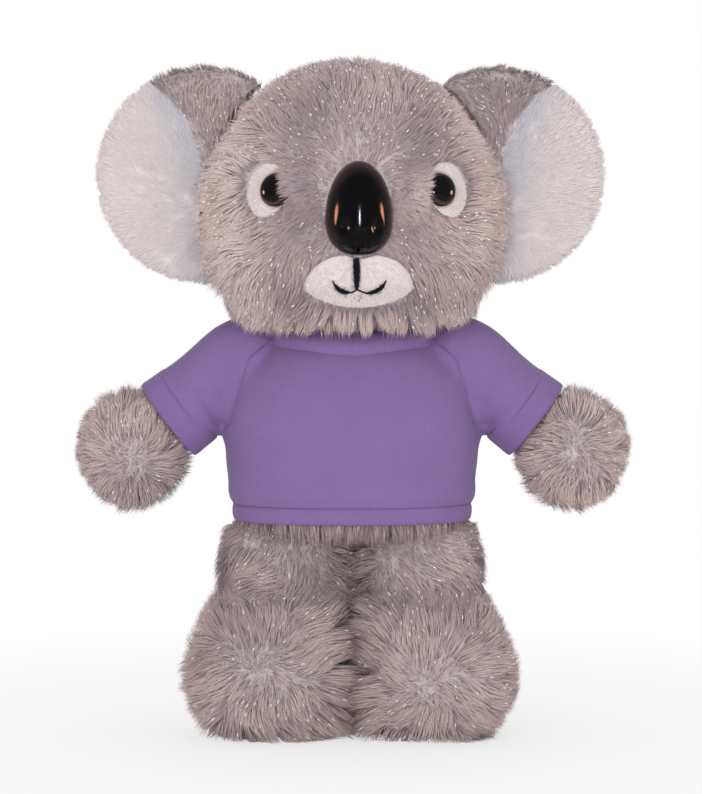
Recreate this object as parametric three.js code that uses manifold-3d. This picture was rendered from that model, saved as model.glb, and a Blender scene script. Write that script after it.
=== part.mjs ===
// Plush koala in a T-shirt: stuffed fur head, torso, arms and legs, moulded eyes and nose.
// Millimetres, +Z up, standing on the floor at z = 0 and facing -Y, so its left side is at +X.
// Each outer surface of fur is the mean height of the pile; a skin's wall is pile and backing together.
import * as THREE from "three";
import { mergeVertices } from "three/addons/utils/BufferGeometryUtils.js";
import Module from "manifold-3d";

const wasm = await Module();
wasm.setup();

// Clearances and cutting
const seam_gap = 0.3;
const stuffing_gap = 0.7;
const cut_overrun = 20;
const weld_distance = 0.0005;

// Legs, hinged at the front of the hip
const leg_top = 96;
const leg_wall = 8;
const hip_y = 13.5;
const hip_radius = 16.5;
const crotch_gap = 2.4;
const thigh_half_depth = 29;
const thigh_outer = 60.8;
const foot_height = 63;
const foot_outer = 75.5;
const foot_toe = 49;
const foot_heel = 25.5;
const leg_opening_radius = 12;
const leg_opening_depth = 16;

// T-shirt body, and the torso inside it, above the legs
const torso_above_legs = 0.6;
const torso_wall = 4;
const shirt_above_legs = 1;
const shirt_length = 80;
const neckline_slope_share = 0.11;
const chest_half_width = 57.5;
const chest_half_depth = 42;
const knit_thickness = 1.5;
const hem_band_height = 7.5;
const hem_band_proud = 0.5;
const collar_height = 7;
const collar_thickness = 2.2;
const collar_half_width = 38;
const collar_half_depth = 32.5;
const collar_draw_in = 6.5;
const torso_floor = leg_top + torso_above_legs;
const hem_height = leg_top + shirt_above_legs;
const neckline_height = hem_height + shirt_length;

// Head, above the neckline
const head_above_neckline = 6.3;
const head_height = 121;
const head_half_width = 66.5;
const head_front = 60;
const head_back = 56;
const head_wall = 8;
const head_turn_angle = 3;
const head_bottom = neckline_height + head_above_neckline;

// Neck: a round stub of the torso that the head turns on, inside a recess under the head
const neck_radius = collar_half_depth - collar_draw_in - collar_thickness - seam_gap;
const neck_bore_radius = 15;
const neck_into_head = 6.7;
const neck_clearance = 0.6;
const collar_recess_radius = collar_half_width;
const collar_recess_depth = 4.9;
const neck_top = head_bottom + neck_into_head;
const collar_recess_top = head_bottom + collar_recess_depth;

// Ears
const ear_radius = 50;
const ear_inset = 0.5;
const ear_centre_y = 7;
const ear_centre_height_share = 0.5595;
const ear_half_thickness = 9;
const ear_panel_depth = 1;
const ear_centre_x = head_half_width - ear_inset;
const ear_centre_z = head_bottom + ear_centre_height_share * head_height;

// Nose and its shank
const nose_width = 29.4;
const nose_height = 41.4;
const nose_forward = 14;
const nose_sunk = 4;
const nose_back = 1.5;
const nose_centre_height_share = 0.441;
const nostril_spacing = 13.6;
const nostril_drop = 8;
const nostril_radius = 2.6;
const philtrum_width = 5.4;
const philtrum_height = 12;
const groove_width = 1.1;
const groove_depth = 0.9;
const nose_shank_radius = 3.5;
const nose_centre_z = head_bottom + nose_centre_height_share * head_height;

// Eyes and their shanks
const eye_radius = 7.5;
const eye_dome = 4.6;
const eye_flange = 1.4;
const eye_sunk = 2.6;
const eye_spread_share = 0.545;
const eye_height_share = 0.51;
const eye_shank_radius = 2.6;
const shank_length = 17;
const shank_rib = 0.6;
const eye_x = eye_spread_share * head_half_width;
const eye_z = head_bottom + eye_height_share * head_height;

// Lock washers behind the skin
const nose_washer_radius = 11;
const eye_washer_radius = 8;
const washer_thickness = 1.6;
const washer_slot = 1.6;

// White patches
const eye_patch_half_width = 11.5;
const eye_patch_half_height = 12.5;
const eye_patch_outward = 4.8;
const eye_patch_depth = 4.4;
const muzzle_patch_depth = 3.2;
const patch_bed_gap = 0.5;
const muzzle_patch_half_width = 24;
const muzzle_patch_top_share = 0.2785;
const muzzle_patch_bottom_share = 0.072;
const muzzle_rise = 9;
const muzzle_half_width = 26;
const muzzle_half_height_share = 0.165;
const muzzle_height_share = 0.196;
const eye_patch_x = eye_x + eye_patch_outward;
const muzzle_patch_top = head_bottom + muzzle_patch_top_share * head_height;
const muzzle_patch_bottom = head_bottom + muzzle_patch_bottom_share * head_height;
const muzzle_centre_z = head_bottom + muzzle_height_share * head_height;
const muzzle_half_height = muzzle_half_height_share * head_height;

// Mouth thread
const upright_thread_radius = 1.4;
const smile_thread_radius = 1;
const mouth_top_share = 0.266;
const mouth_turn_share = 0.134;
const smile_half_width = 12;
const smile_end_rise = 4.5;
const mouth_top = head_bottom + mouth_top_share * head_height;
const mouth_turn = head_bottom + mouth_turn_share * head_height;

// Arms, along an axis that drops from the shoulder
const shoulder_x = 58;
const shoulder_below_neckline = 17;
const shoulder_radius = 24;
const shoulder_arc_angle = 15;
const arm_drop_angle = 37.5;
const arm_flatness_share = 0.92;
const arm_wall = 6;
const arm_clearance = 0.8;
const arm_lift_down_angle = 15;
const arm_lift_up_angle = 50;
const sleeve_length = 31;
const cuff_length = 12.5;
const cuff_radius = 19.8;
const cuff_flare = 1;
const cuff_thickness = 2.2;
const cuff_roll = 0.6;
const paw_radius = 29;
const paw_reach = 79;
const arm_opening = 14;
const shoulder_z = neckline_height - shoulder_below_neckline;

// Fineness of the surfaces
const head_sides = 28;
const ear_sides = 24;
const body_sides = 22;
const limb_sides = 16;
const inner_sides = 12;
const round_sides = 14;
const socket_sides = 20;
const neck_sides = 28;
const small_sides = 8;

// The body axis stands behind the origin, so that the nose and the back of the head are equally far from it.
const body_axis_y = (head_front + nose_forward - head_back) / 2;

// A closed geometry as a solid, facing outwards.
function solidOf(geometry) {
  const loose = geometry.index ? geometry.toNonIndexed() : geometry;
  const bare = new THREE.BufferGeometry().setAttribute("position", loose.getAttribute("position"));
  const welded = mergeVertices(bare, weld_distance);
  const corners = new Uint32Array(welded.index.array);
  const make = () =>
    new wasm.Manifold(
      new wasm.Mesh({ numProp: 3, vertProperties: welded.attributes.position.array, triVerts: corners }),
    );
  const solid = make();
  if (solid.volume() > 0) return solid;
  for (let i = 0; i < corners.length; i += 3) {
    [corners[i + 1], corners[i + 2]] = [corners[i + 2], corners[i + 1]];
  }
  return make();
}

// A solid as a geometry.
function geometryOf(solid) {
  const mesh = solid.getMesh();
  const geometry = new THREE.BufferGeometry();
  geometry.setAttribute("position", new THREE.BufferAttribute(new Float32Array(mesh.vertProperties), 3));
  geometry.setIndex(new THREE.BufferAttribute(new Uint32Array(mesh.triVerts), 1));
  geometry.computeVertexNormals();
  return geometry;
}

// Point of a superellipse of half sizes 1 at an angle; a power of 2 is a circle.
function superPoint(angle, power) {
  const c = Math.cos(angle);
  const s = Math.sin(angle);
  return [
    Math.sign(c) * Math.abs(c) ** (2 / power),
    Math.sign(s) * Math.abs(s) ** (2 / power),
  ];
}

// A form of level rings, lowest first: each has z, x, y, half_width, front and back.
function ringForm(rings, sides, power, moved = (p) => p) {
  const points = [];
  const corners = [];
  for (const ring of rings) {
    for (let i = 0; i < sides; i += 1) {
      const [across, along] = superPoint((2 * Math.PI * i) / sides, power);
      const depth = along < 0 ? ring.front : ring.back;
      points.push(moved([ring.x + across * ring.half_width, ring.y + along * depth, ring.z]));
    }
  }
  const last = (rings.length - 1) * sides;
  const low = points.length;
  const high = low + 1;
  points.push(moved([rings[0].x, rings[0].y, rings[0].z]));
  points.push(moved([rings.at(-1).x, rings.at(-1).y, rings.at(-1).z]));
  for (let i = 0; i < sides; i += 1) {
    const next = (i + 1) % sides;
    corners.push(low, next, i);
    corners.push(high, last + i, last + next);
    for (let r = 0; r < last; r += sides) {
      corners.push(r + i, r + next, r + sides + next);
      corners.push(r + i, r + sides + next, r + sides + i);
    }
  }
  const geometry = new THREE.BufferGeometry();
  geometry.setAttribute("position", new THREE.Float32BufferAttribute(points.flat(), 3));
  geometry.setIndex(corners);
  return geometry;
}

// A turned form about local Y from [radius, place] pairs that start and end on the axis, or close on
// themselves.
function turned(profile, sides) {
  const points = profile.map(([radius, place]) => new THREE.Vector2(radius, place));
  if (THREE.ShapeUtils.isClockWise(points)) points.reverse();
  return new THREE.LatheGeometry(points, sides);
}

// An upright cylinder between two heights.
function post(radius, low, high, sides, x = 0, y = 0) {
  const geometry = new THREE.CylinderGeometry(radius, radius, high - low, sides);
  geometry.rotateX(Math.PI / 2);
  geometry.translate(x, y, (low + high) / 2);
  return solidOf(geometry);
}

function fabric(color) {
  return new THREE.MeshStandardMaterial({ color, roughness: 0.95, metalness: 0 });
}

function moulded(color, roughness) {
  return new THREE.MeshStandardMaterial({ color, roughness, metalness: 0 });
}

const grey_fur = 0xa08d8d;
const white_plush = 0xdbced0;
const purple_knit = 0x886da2;
const stuffing_white = 0xe9e6e0;
const glossy_black = 0x110c0f;
const washer_white = 0xd9d6cc;
const dark_thread = 0x1c1a2c;

function piece(name, geometry, material) {
  const mesh = new THREE.Mesh(geometry, material);
  mesh.name = name;
  return mesh;
}

const sides_of_toy = [
  { side: 1, label: "left" },
  { side: -1, label: "right" },
];

// Head: level rings whose half sizes are shares of the head's, [height, size], lowest first
const head_profile_shares = [
  [0, 0.6],
  [0.02, 0.74],
  [0.08, 0.845],
  [0.163, 0.915],
  [0.26, 0.965],
  [0.37, 0.995],
  [0.48, 1],
  [0.59, 0.955],
  [0.69, 0.885],
  [0.78, 0.785],
  [0.86, 0.66],
  [0.925, 0.505],
  [0.97, 0.33],
  [1, 0.1],
];
const head_power = 2.2;

function headSizeShare(height_share) {
  const at = Math.min(Math.max(height_share, 0), 1);
  const above = Math.max(1, head_profile_shares.findIndex(([h]) => h >= at));
  const [h0, s0] = head_profile_shares[above - 1];
  const [h1, s1] = head_profile_shares[above];
  return s0 + ((s1 - s0) * (at - h0)) / (h1 - h0);
}

function muzzleBulge(x, z) {
  const across = x / muzzle_half_width;
  const up = (z - muzzle_centre_z) / muzzle_half_height;
  return muzzle_rise * Math.exp(-across * across - up * up);
}

// The head's surface, moved inwards all round by inset; a coarse one keeps every other ring.
function headForm(inset, sides, coarse = false) {
  const top = head_profile_shares.length - 1;
  const kept = head_profile_shares.filter((_, i) => !coarse || i % 2 === 0 || i === top);
  const rings = kept.map(([height, size]) => ({
    x: 0,
    y: 0,
    z: head_bottom + inset + height * (head_height - 2 * inset),
    half_width: size * (head_half_width - inset),
    front: size * (head_front - inset),
    back: size * (head_back - inset),
  }));
  const bulged = ([x, y, z]) => [x, y < 0 ? y - muzzleBulge(x, z) * Math.min(1, -y / head_back) : y, z];
  return solidOf(ringForm(rings, sides, head_power, bulged));
}

// Front of the head at a place on the face.
function faceY(x, z) {
  const size = headSizeShare((z - head_bottom) / head_height);
  const across = Math.abs(x / (size * head_half_width)) ** head_power;
  const y = -size * head_front * (1 - across) ** (1 / head_power);
  return y - muzzleBulge(x, z) * Math.min(1, -y / head_back);
}

// Outward direction of the face at a place, from the slope over a small step.
const slope_step = 2;
function faceNormal(x, z) {
  const over_x = (faceY(x + slope_step, z) - faceY(x - slope_step, z)) / (2 * slope_step);
  const over_z = (faceY(x, z + slope_step) - faceY(x, z - slope_step)) / (2 * slope_step);
  return new THREE.Vector3(over_x, -1, over_z).normalize();
}

// Turns a form made about local Y so that +Y looks out of the face at x, z, with the surface at y = 0.
function ontoFace(geometry, x, z) {
  const turn = new THREE.Quaternion().setFromUnitVectors(new THREE.Vector3(0, 1, 0), faceNormal(x, z));
  return geometry.applyQuaternion(turn).translate(x, faceY(x, z), z);
}

// Safety shank: [radius, place] pairs down its ribs to its tip.
const shank_rib_count = 3;
function shankProfile(radius, root) {
  const profile = [];
  const pitch = shank_length / (shank_rib_count + 1);
  for (let i = 1; i <= shank_rib_count; i += 1) {
    const place = root - i * pitch;
    profile.push([radius, place + pitch / 4]);
    profile.push([radius + shank_rib, place]);
    profile.push([radius, place - pitch / 4]);
  }
  profile.push([radius - shank_rib, root - shank_length]);
  return profile;
}

// The hole that a shank takes through skin and stuffing.
function shankHole(radius, x, z) {
  const hole = new THREE.CylinderGeometry(1, 1, shank_length + 2 * seam_gap + eye_sunk, small_sides);
  hole.scale(radius + shank_rib + 2 * seam_gap, 1, radius + shank_rib + 2 * seam_gap);
  hole.translate(0, -eye_sunk - (shank_length + 2 * seam_gap) / 2, 0);
  return solidOf(ontoFace(hole, x, z));
}

// Eye: a domed disc on a ribbed shank, turned in one piece.
const eye_dome_steps = 4;
const eye_face = eye_dome + eye_flange - eye_sunk;
function eyeForm(side) {
  const profile = [];
  for (let i = 0; i <= eye_dome_steps; i += 1) {
    const angle = (Math.PI / 2) * (i / eye_dome_steps);
    profile.push([Math.sin(angle) * eye_radius, eye_face - eye_dome + Math.cos(angle) * eye_dome]);
  }
  profile.push([eye_radius, -eye_sunk]);
  profile.push([eye_shank_radius, -eye_sunk]);
  profile.push(...shankProfile(eye_shank_radius, -eye_sunk));
  profile.push([0, -eye_sunk - shank_length]);
  return ontoFace(turned(profile, round_sides), side * eye_x, eye_z);
}

// The bed of an eye in the pile: a plain round pocket, with the shank's hole under it.
function eyeBed(side) {
  const bed = new THREE.CylinderGeometry(1, 1, cut_overrun, round_sides);
  bed.scale(eye_radius + 2 * seam_gap, 1, eye_radius + 2 * seam_gap);
  bed.translate(0, cut_overrun / 2 - eye_sunk - seam_gap, 0);
  return solidOf(ontoFace(bed, side * eye_x, eye_z)).add(shankHole(eye_shank_radius, side * eye_x, eye_z));
}

// Nose: an egg, narrow at the top, on a ribbed shank. [height, width, depth] shares, lowest first
const nose_profile_shares = [
  [0, 0.2, 0.5],
  [0.03, 0.5, 0.66],
  [0.1, 0.77, 0.8],
  [0.2, 0.92, 0.92],
  [0.36, 1, 1],
  [0.52, 0.96, 1],
  [0.68, 0.85, 0.93],
  [0.82, 0.7, 0.8],
  [0.92, 0.53, 0.64],
  [0.975, 0.34, 0.48],
  [1, 0.12, 0.36],
];
const nose_power = 2;
const nose_sides = 20;
const nose_bed_sides = 14;
const nose_bed_gap = 1;
const nose_low = nose_centre_z - nose_height / 2;
const nose_front_y = -head_front - nose_forward;

function noseForm(extra, sides) {
  const rings = nose_profile_shares.map(([height, width, depth]) => ({
    x: 0,
    y: nose_sunk - head_front,
    z: nose_low - extra + height * (nose_height + 2 * extra),
    half_width: width * (nose_width / 2 + extra),
    front: depth * (nose_forward + nose_sunk + extra),
    back: nose_back + extra,
  }));
  return solidOf(ringForm(rings, sides, nose_power));
}

function noseShank() {
  const profile = [
    [0, 0],
    [nose_shank_radius, 0],
    ...shankProfile(nose_shank_radius, -nose_sunk),
    [0, -nose_sunk - shank_length],
  ];
  return ontoFace(turned(profile, small_sides), 0, nose_centre_z);
}

// Two nostrils, and two grooves of even depth that leave a ridge between them down to the lip
const nostril_shares = [1.25, 0.8, 1];
function noseSolid() {
  const under_groove = noseForm(-groove_depth, nose_sides);
  let nose = noseForm(0, nose_sides).add(solidOf(noseShank()));
  for (const { side } of sides_of_toy) {
    const nostril = new THREE.SphereGeometry(nostril_radius, small_sides, small_sides / 2);
    nostril.scale(...nostril_shares);
    const nostril_x = (side * nostril_spacing) / 2;
    nostril.translate(nostril_x, nose_front_y + nostril_radius, nose_centre_z - nostril_drop);
    const slab = new THREE.BoxGeometry(groove_width, nose_forward, philtrum_height);
    const slab_x = (side * philtrum_width) / 2;
    slab.translate(slab_x, nose_front_y + nose_forward / 2, nose_low + philtrum_height / 2);
    nose = nose.subtract(solidOf(nostril)).subtract(solidOf(slab).subtract(under_groove));
  }
  return nose;
}

// Lock washer: a disc whose bore is slotted into teeth that grip the shank. It lies just under the skin.
const washer_teeth = 8;
const tooth_corners = 4;
const washer_front = -head_wall - seam_gap;
function washerForm(outer, shank_radius, x, z) {
  const bore = shank_radius + shank_rib + seam_gap;
  const shape = new THREE.Shape().absarc(0, 0, outer, 0, 2 * Math.PI, false);
  const hole = new THREE.Path();
  for (let i = 0; i < washer_teeth * tooth_corners; i += 1) {
    const on_tooth = i % tooth_corners < tooth_corners / 2;
    const radius = on_tooth ? bore : bore + washer_slot;
    const angle = (2 * Math.PI * i) / (washer_teeth * tooth_corners);
    const place = [radius * Math.cos(angle), radius * Math.sin(angle)];
    if (i) hole.lineTo(...place);
    else hole.moveTo(...place);
  }
  hole.closePath();
  shape.holes.push(hole);
  const size = { depth: washer_thickness, bevelEnabled: false, curveSegments: round_sides / 2 };
  const disc = new THREE.ExtrudeGeometry(shape, size);
  return ontoFace(disc.rotateX(-Math.PI / 2).translate(0, washer_front - washer_thickness, 0), x, z);
}

// The room round a washer, which starts a chosen distance in front of it.
function washerRoom(outer, x, z, ahead) {
  const length = washer_thickness + seam_gap + ahead;
  const room = new THREE.CylinderGeometry(1, 1, length, round_sides);
  room.scale(outer + seam_gap, 1, outer + seam_gap);
  room.translate(0, washer_front + ahead - length / 2, 0);
  return solidOf(ontoFace(room, x, z));
}

const head_surface = headForm(0, head_sides);

// An eye patch's outline as a block that stands on a flat floor in the pile.
function eyePatchBlock(extra, side) {
  const block = new THREE.CylinderGeometry(1, 1, cut_overrun, round_sides + 2);
  block.scale(eye_patch_half_width + extra, 1, eye_patch_half_height + extra);
  block.translate(0, cut_overrun / 2 - eye_patch_depth - extra, 0);
  return solidOf(ontoFace(block, side * eye_patch_x, eye_z));
}

// Muzzle patch: a wide rounded heart seen from the front. Half its outline, [width, height] shares,
// as the ends and handles of two curves from the dip at its top to its lowest point
const muzzle_patch_shares = [
  [0, 0.96],
  [0.5, 1.06],
  [0.95, 0.8],
  [1, 0.45],
  [1, 0.16],
  [0.55, 0],
  [0, 0],
];
const patch_curve_steps = 6;
function muzzlePatchPrism(extra) {
  const wide = muzzle_patch_half_width + extra;
  const low = muzzle_patch_bottom - extra;
  const tall = muzzle_patch_top + extra - low;
  const half = muzzle_patch_shares.map(([x, z]) => [x * wide, low + z * tall]);
  const outline = [...half, ...half.slice(0, -1).reverse().map(([x, z]) => [-x, z])];
  const shape = new THREE.Shape();
  shape.moveTo(...outline[0]);
  for (let i = 1; i < outline.length; i += 3) {
    shape.bezierCurveTo(...outline.slice(i, i + 3).flat());
  }
  const depth = head_front + cut_overrun;
  const size = { depth, bevelEnabled: false, curveSegments: patch_curve_steps };
  return solidOf(new THREE.ExtrudeGeometry(shape, size).rotateX(Math.PI / 2));
}

// Mouth: one upright stitch and a smile of dark thread that lie on the muzzle patch.
const thread_sides = 6;
const thread_steps = 9;
function threadAlong(places, radius) {
  const path = new THREE.CatmullRomCurve3(
    places.map(([x, z]) => new THREE.Vector3(x, faceY(x, z) - radius - seam_gap, z)),
  );
  const section = new THREE.Shape();
  for (let i = 0; i < thread_sides; i += 1) {
    const angle = (2 * Math.PI * i) / thread_sides;
    const place = [radius * Math.cos(angle), radius * Math.sin(angle)];
    if (i) section.lineTo(...place);
    else section.moveTo(...place);
  }
  const shape = { steps: thread_steps, extrudePath: path, bevelEnabled: false };
  return solidOf(new THREE.ExtrudeGeometry(section, shape));
}

// Half the smile from its middle to its end, [width, rise] shares
const smile_shares = [
  [0, 0],
  [0.45, -0.2],
  [0.8, 0.35],
  [1, 1],
];
function mouthSolid() {
  const upright = threadAlong(
    [
      [0, mouth_top],
      [0, (mouth_top + mouth_turn) / 2],
      [0, mouth_turn],
    ],
    upright_thread_radius,
  );
  const half = smile_shares.map(([x, z]) => [x * smile_half_width, mouth_turn + z * smile_end_rise]);
  const other_half = half.slice(1).reverse().map(([x, z]) => [-x, z]);
  return upright.add(threadAlong([...other_half, ...half], smile_thread_radius));
}

// Ear: a flat cushion, [radius share, thickness share] from its front to its back
const ear_profile_shares = [
  [0, -0.8],
  [0.6, -0.84],
  [0.86, -0.8],
  [0.96, -0.5],
  [1, 0],
  [0.97, 0.5],
  [0.87, 0.9],
  [0.6, 1],
  [0, 0.96],
];
function earCushion(side) {
  const profile = ear_profile_shares.map(([radius, depth]) => [
    radius * ear_radius,
    depth * ear_half_thickness,
  ]);
  const geometry = turned(profile, ear_sides);
  geometry.translate(side * ear_centre_x, ear_centre_y, ear_centre_z);
  return solidOf(geometry).subtract(headForm(-seam_gap, head_sides));
}

// The edge of the white panel, [outward, up] shares from its top to its foot: its upper inner corner is
// left to the grey fur, which folds over from the back
const ear_panel_edge_shares = [
  [0.58, 0.86],
  [0.34, 0.7],
  [0.16, 0.52],
  [0.07, 0.3],
  [0, 0.05],
  [-0.1, -0.4],
  [-0.16, -1.1],
];
function earPanelPrism(extra, side) {
  const reach = ear_radius + cut_overrun;
  const edge = ear_panel_edge_shares.map(([x, z]) => [
    side * (x * ear_radius - extra),
    z * ear_radius + extra,
  ]);
  const [top, foot] = [edge[0], edge.at(-1)];
  const shape = new THREE.Shape();
  shape.moveTo(top[0], reach);
  shape.lineTo(side * reach, reach);
  shape.lineTo(side * reach, -reach);
  shape.lineTo(foot[0], -reach);
  for (const place of edge.reverse()) shape.lineTo(...place);
  shape.closePath();
  const depth = ear_half_thickness + cut_overrun;
  const prism = new THREE.ExtrudeGeometry(shape, { depth, bevelEnabled: false });
  prism.rotateX(Math.PI / 2);
  const face = ear_centre_y - ear_panel_depth + extra;
  return solidOf(prism.translate(side * ear_centre_x, face, ear_centre_z));
}

function makeHead() {
  const head = new THREE.Group();
  const below = head_bottom - cut_overrun;
  const opening = post(neck_radius + neck_clearance, below, neck_top + seam_gap, neck_sides);
  const recess = post(collar_recess_radius, below, collar_recess_top, neck_sides);
  const neck_room = post(collar_recess_radius, below, neck_top + seam_gap, neck_sides);
  const under_patches = headForm(muzzle_patch_depth + patch_bed_gap, head_sides);
  let skin = head_surface.subtract(headForm(head_wall, round_sides, true));
  skin = skin.subtract(opening).subtract(recess);
  skin = skin.subtract(muzzlePatchPrism(seam_gap).subtract(under_patches));
  let stuffing = headForm(head_wall + stuffing_gap, round_sides, true).subtract(neck_room);

  const nose_shank_hole = shankHole(nose_shank_radius, 0, nose_centre_z);
  const nose_hole = noseForm(nose_bed_gap, nose_bed_sides).add(nose_shank_hole);
  skin = skin.subtract(nose_hole).subtract(washerRoom(nose_washer_radius, 0, nose_centre_z, seam_gap));
  stuffing = stuffing.subtract(nose_hole);
  stuffing = stuffing.subtract(washerRoom(nose_washer_radius, 0, nose_centre_z, head_wall));
  const nose_washer = washerForm(nose_washer_radius, nose_shank_radius, 0, nose_centre_z);
  head.add(piece("nose", geometryOf(noseSolid()), moulded(glossy_black, 0.12)));
  head.add(piece("nose_washer", nose_washer, moulded(washer_white, 0.5)));

  for (const { side, label } of sides_of_toy) {
    const x = side * eye_x;
    const eye_bed = eyeBed(side);
    const patch = eyePatchBlock(0, side).intersect(head_surface).subtract(eye_bed);
    skin = skin.subtract(eyePatchBlock(seam_gap, side));
    skin = skin.subtract(eye_bed).subtract(washerRoom(eye_washer_radius, x, eye_z, seam_gap));
    stuffing = stuffing.subtract(eye_bed).subtract(washerRoom(eye_washer_radius, x, eye_z, head_wall));
    const eye_washer = washerForm(eye_washer_radius, eye_shank_radius, x, eye_z);
    head.add(piece("eye_" + label, eyeForm(side), moulded(glossy_black, 0.08)));
    head.add(piece("eye_washer_" + label, eye_washer, moulded(washer_white, 0.5)));
    head.add(piece("eye_patch_" + label, geometryOf(patch), fabric(white_plush)));

    const ear = earCushion(side);
    const ear_back = ear.subtract(earPanelPrism(seam_gap, side));
    const ear_front = ear.intersect(earPanelPrism(0, side));
    head.add(piece("ear_back_" + label, geometryOf(ear_back), fabric(grey_fur)));
    head.add(piece("ear_front_" + label, geometryOf(ear_front), fabric(white_plush)));
  }

  const muzzle_layer = head_surface.subtract(headForm(muzzle_patch_depth, head_sides));
  const muzzle_patch = muzzlePatchPrism(0).intersect(muzzle_layer).subtract(nose_hole);
  const mouth = mouthSolid().subtract(nose_hole).subtract(headForm(-seam_gap, head_sides));
  head.add(piece("head_skin", geometryOf(skin), fabric(grey_fur)));
  head.add(piece("head_stuffing", geometryOf(stuffing), fabric(stuffing_white)));
  head.add(piece("muzzle_patch", geometryOf(muzzle_patch), fabric(white_plush)));
  head.add(piece("mouth_stitching", geometryOf(mouth), fabric(dark_thread)));
  head.rotation.z = THREE.MathUtils.degToRad(head_turn_angle);
  return head;
}

// Arm and sleeve in the arm's own frame: local Y runs from the shoulder's centre to the tip of the paw.
const ball_steps = 4;
function shoulderArc(radius, open) {
  const start = Math.asin(-open / radius);
  const end = THREE.MathUtils.degToRad(shoulder_arc_angle);
  const arc = [];
  for (let i = 0; i <= ball_steps; i += 1) {
    const angle = start + ((end - start) * i) / ball_steps;
    arc.push([radius * Math.cos(angle), radius * Math.sin(angle)]);
  }
  return arc;
}

// The sleeve's outline from the shoulder ball to the cuff, moved inwards by inset.
function sleeveProfile(inset) {
  const end = sleeve_length - cuff_length - seam_gap;
  return [...shoulderArc(shoulder_radius - inset, arm_opening), [cuff_radius - cuff_flare - inset, end]];
}

// A sleeve filled solid, with its cuff, grown all round by extra.
function sleeveEnvelope(extra) {
  return turned(
    [
      [0, 0],
      [shoulder_radius + extra, 0],
      ...sleeveProfile(-extra).slice(-2),
      [cuff_radius + extra, sleeve_length + extra],
      [0, sleeve_length + extra],
    ],
    round_sides,
  );
}

// Paw and forearm, [place, radius]: shares of the reach beyond the cuff and of the paw's radius
const paw_profile_shares = [
  [0.06, 0.72],
  [0.17, 0.88],
  [0.33, 0.98],
  [0.48, 1],
  [0.64, 0.94],
  [0.8, 0.78],
  [0.92, 0.52],
  [1, 0],
];

function armOutline(inset) {
  const beyond = paw_reach - inset - sleeve_length;
  const under_sleeve = knit_thickness + seam_gap + inset;
  const wrist = cuff_radius - cuff_flare - cuff_thickness - seam_gap - inset;
  return [
    ...shoulderArc(shoulder_radius - under_sleeve, arm_opening),
    [wrist, sleeve_length - cuff_length - seam_gap],
    [wrist, sleeve_length],
    ...paw_profile_shares.map(([place, radius]) => [
      Math.max(radius * paw_radius - (radius ? inset : 0), 0),
      sleeve_length + place * beyond,
    ]),
  ];
}

function armSkin() {
  return turned([...armOutline(0), ...armOutline(arm_wall).reverse(), armOutline(0)[0]], limb_sides);
}

function armStuffing() {
  const outline = armOutline(arm_wall + stuffing_gap);
  return turned([[0, outline[0][1]], ...outline], inner_sides);
}

function sleeve() {
  const outline = sleeveProfile(0);
  return turned([...outline, ...sleeveProfile(knit_thickness).reverse(), outline[0]], limb_sides);
}

// Turned cuff: a band that flares a little to a rolled lip.
function cuff() {
  const low = sleeve_length - cuff_length;
  const start = cuff_radius - cuff_flare;
  return turned(
    [
      [start - cuff_thickness, low],
      [start - cuff_roll, low],
      [start, low + cuff_roll],
      [cuff_radius, sleeve_length - cuff_roll],
      [cuff_radius - cuff_roll, sleeve_length],
      [start - cuff_thickness, sleeve_length],
      [start - cuff_thickness, low],
    ],
    limb_sides,
  );
}

// Places an arm's own frame on its side, dropped below level by an angle in degrees.
function armPlacement(side, drop_angle) {
  const placement = new THREE.Group();
  placement.position.set(side * shoulder_x, 0, shoulder_z);
  placement.rotation.y = side * THREE.MathUtils.degToRad(drop_angle);
  const along = new THREE.Group();
  along.rotation.z = (-side * Math.PI) / 2;
  placement.add(along);
  placement.updateMatrixWorld(true);
  return { placement, along };
}

function makeArm({ side, label }) {
  const { placement, along } = armPlacement(side, arm_drop_angle);
  const flat = (geometry) => geometry.scale(1, 1, arm_flatness_share);
  along.add(piece("arm_skin_" + label, flat(armSkin()), fabric(grey_fur)));
  along.add(piece("arm_stuffing_" + label, flat(armStuffing()), fabric(stuffing_white)));
  along.add(piece("shirt_sleeve_" + label, flat(sleeve()), fabric(purple_knit)));
  along.add(piece("sleeve_cuff_" + label, flat(cuff()), fabric(purple_knit)));
  return placement;
}

// The room that a shoulder and its sleeve sweep through: the ball, and the sleeve at its lowest and highest,
// which reach furthest into the side of the torso.
function armSweep(side) {
  const ball = new THREE.SphereGeometry(shoulder_radius + arm_clearance, socket_sides, socket_sides / 2);
  let sweep = solidOf(ball.translate(side * shoulder_x, 0, shoulder_z));
  for (const lift_angle of [-arm_lift_down_angle, arm_lift_up_angle]) {
    const { along } = armPlacement(side, arm_drop_angle - lift_angle);
    sweep = sweep.add(solidOf(sleeveEnvelope(arm_clearance).applyMatrix4(along.matrixWorld)));
  }
  return sweep;
}

// T-shirt body: level rings, [height, width, depth] shares, lowest first
const shirt_profile_shares = [
  [0, 0.925, 0.9],
  [0.1, 0.94, 0.92],
  [0.32, 0.985, 0.975],
  [0.51, 1, 1],
  [0.66, 0.965, 0.98],
  [0.8, 0.89, 0.93],
  [0.92, 0.77, 0.84],
  [1, 0.64, 0.755],
];
const body_power = 2.4;
const collar_power = 2;

// The neckline is lower in front: heights near it slope with depth.
function sloped([x, y, z]) {
  const share = Math.max(0, (z - hem_height) / (neckline_height - hem_height));
  return [x, y, z + neckline_slope_share * y * share * share];
}

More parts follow.
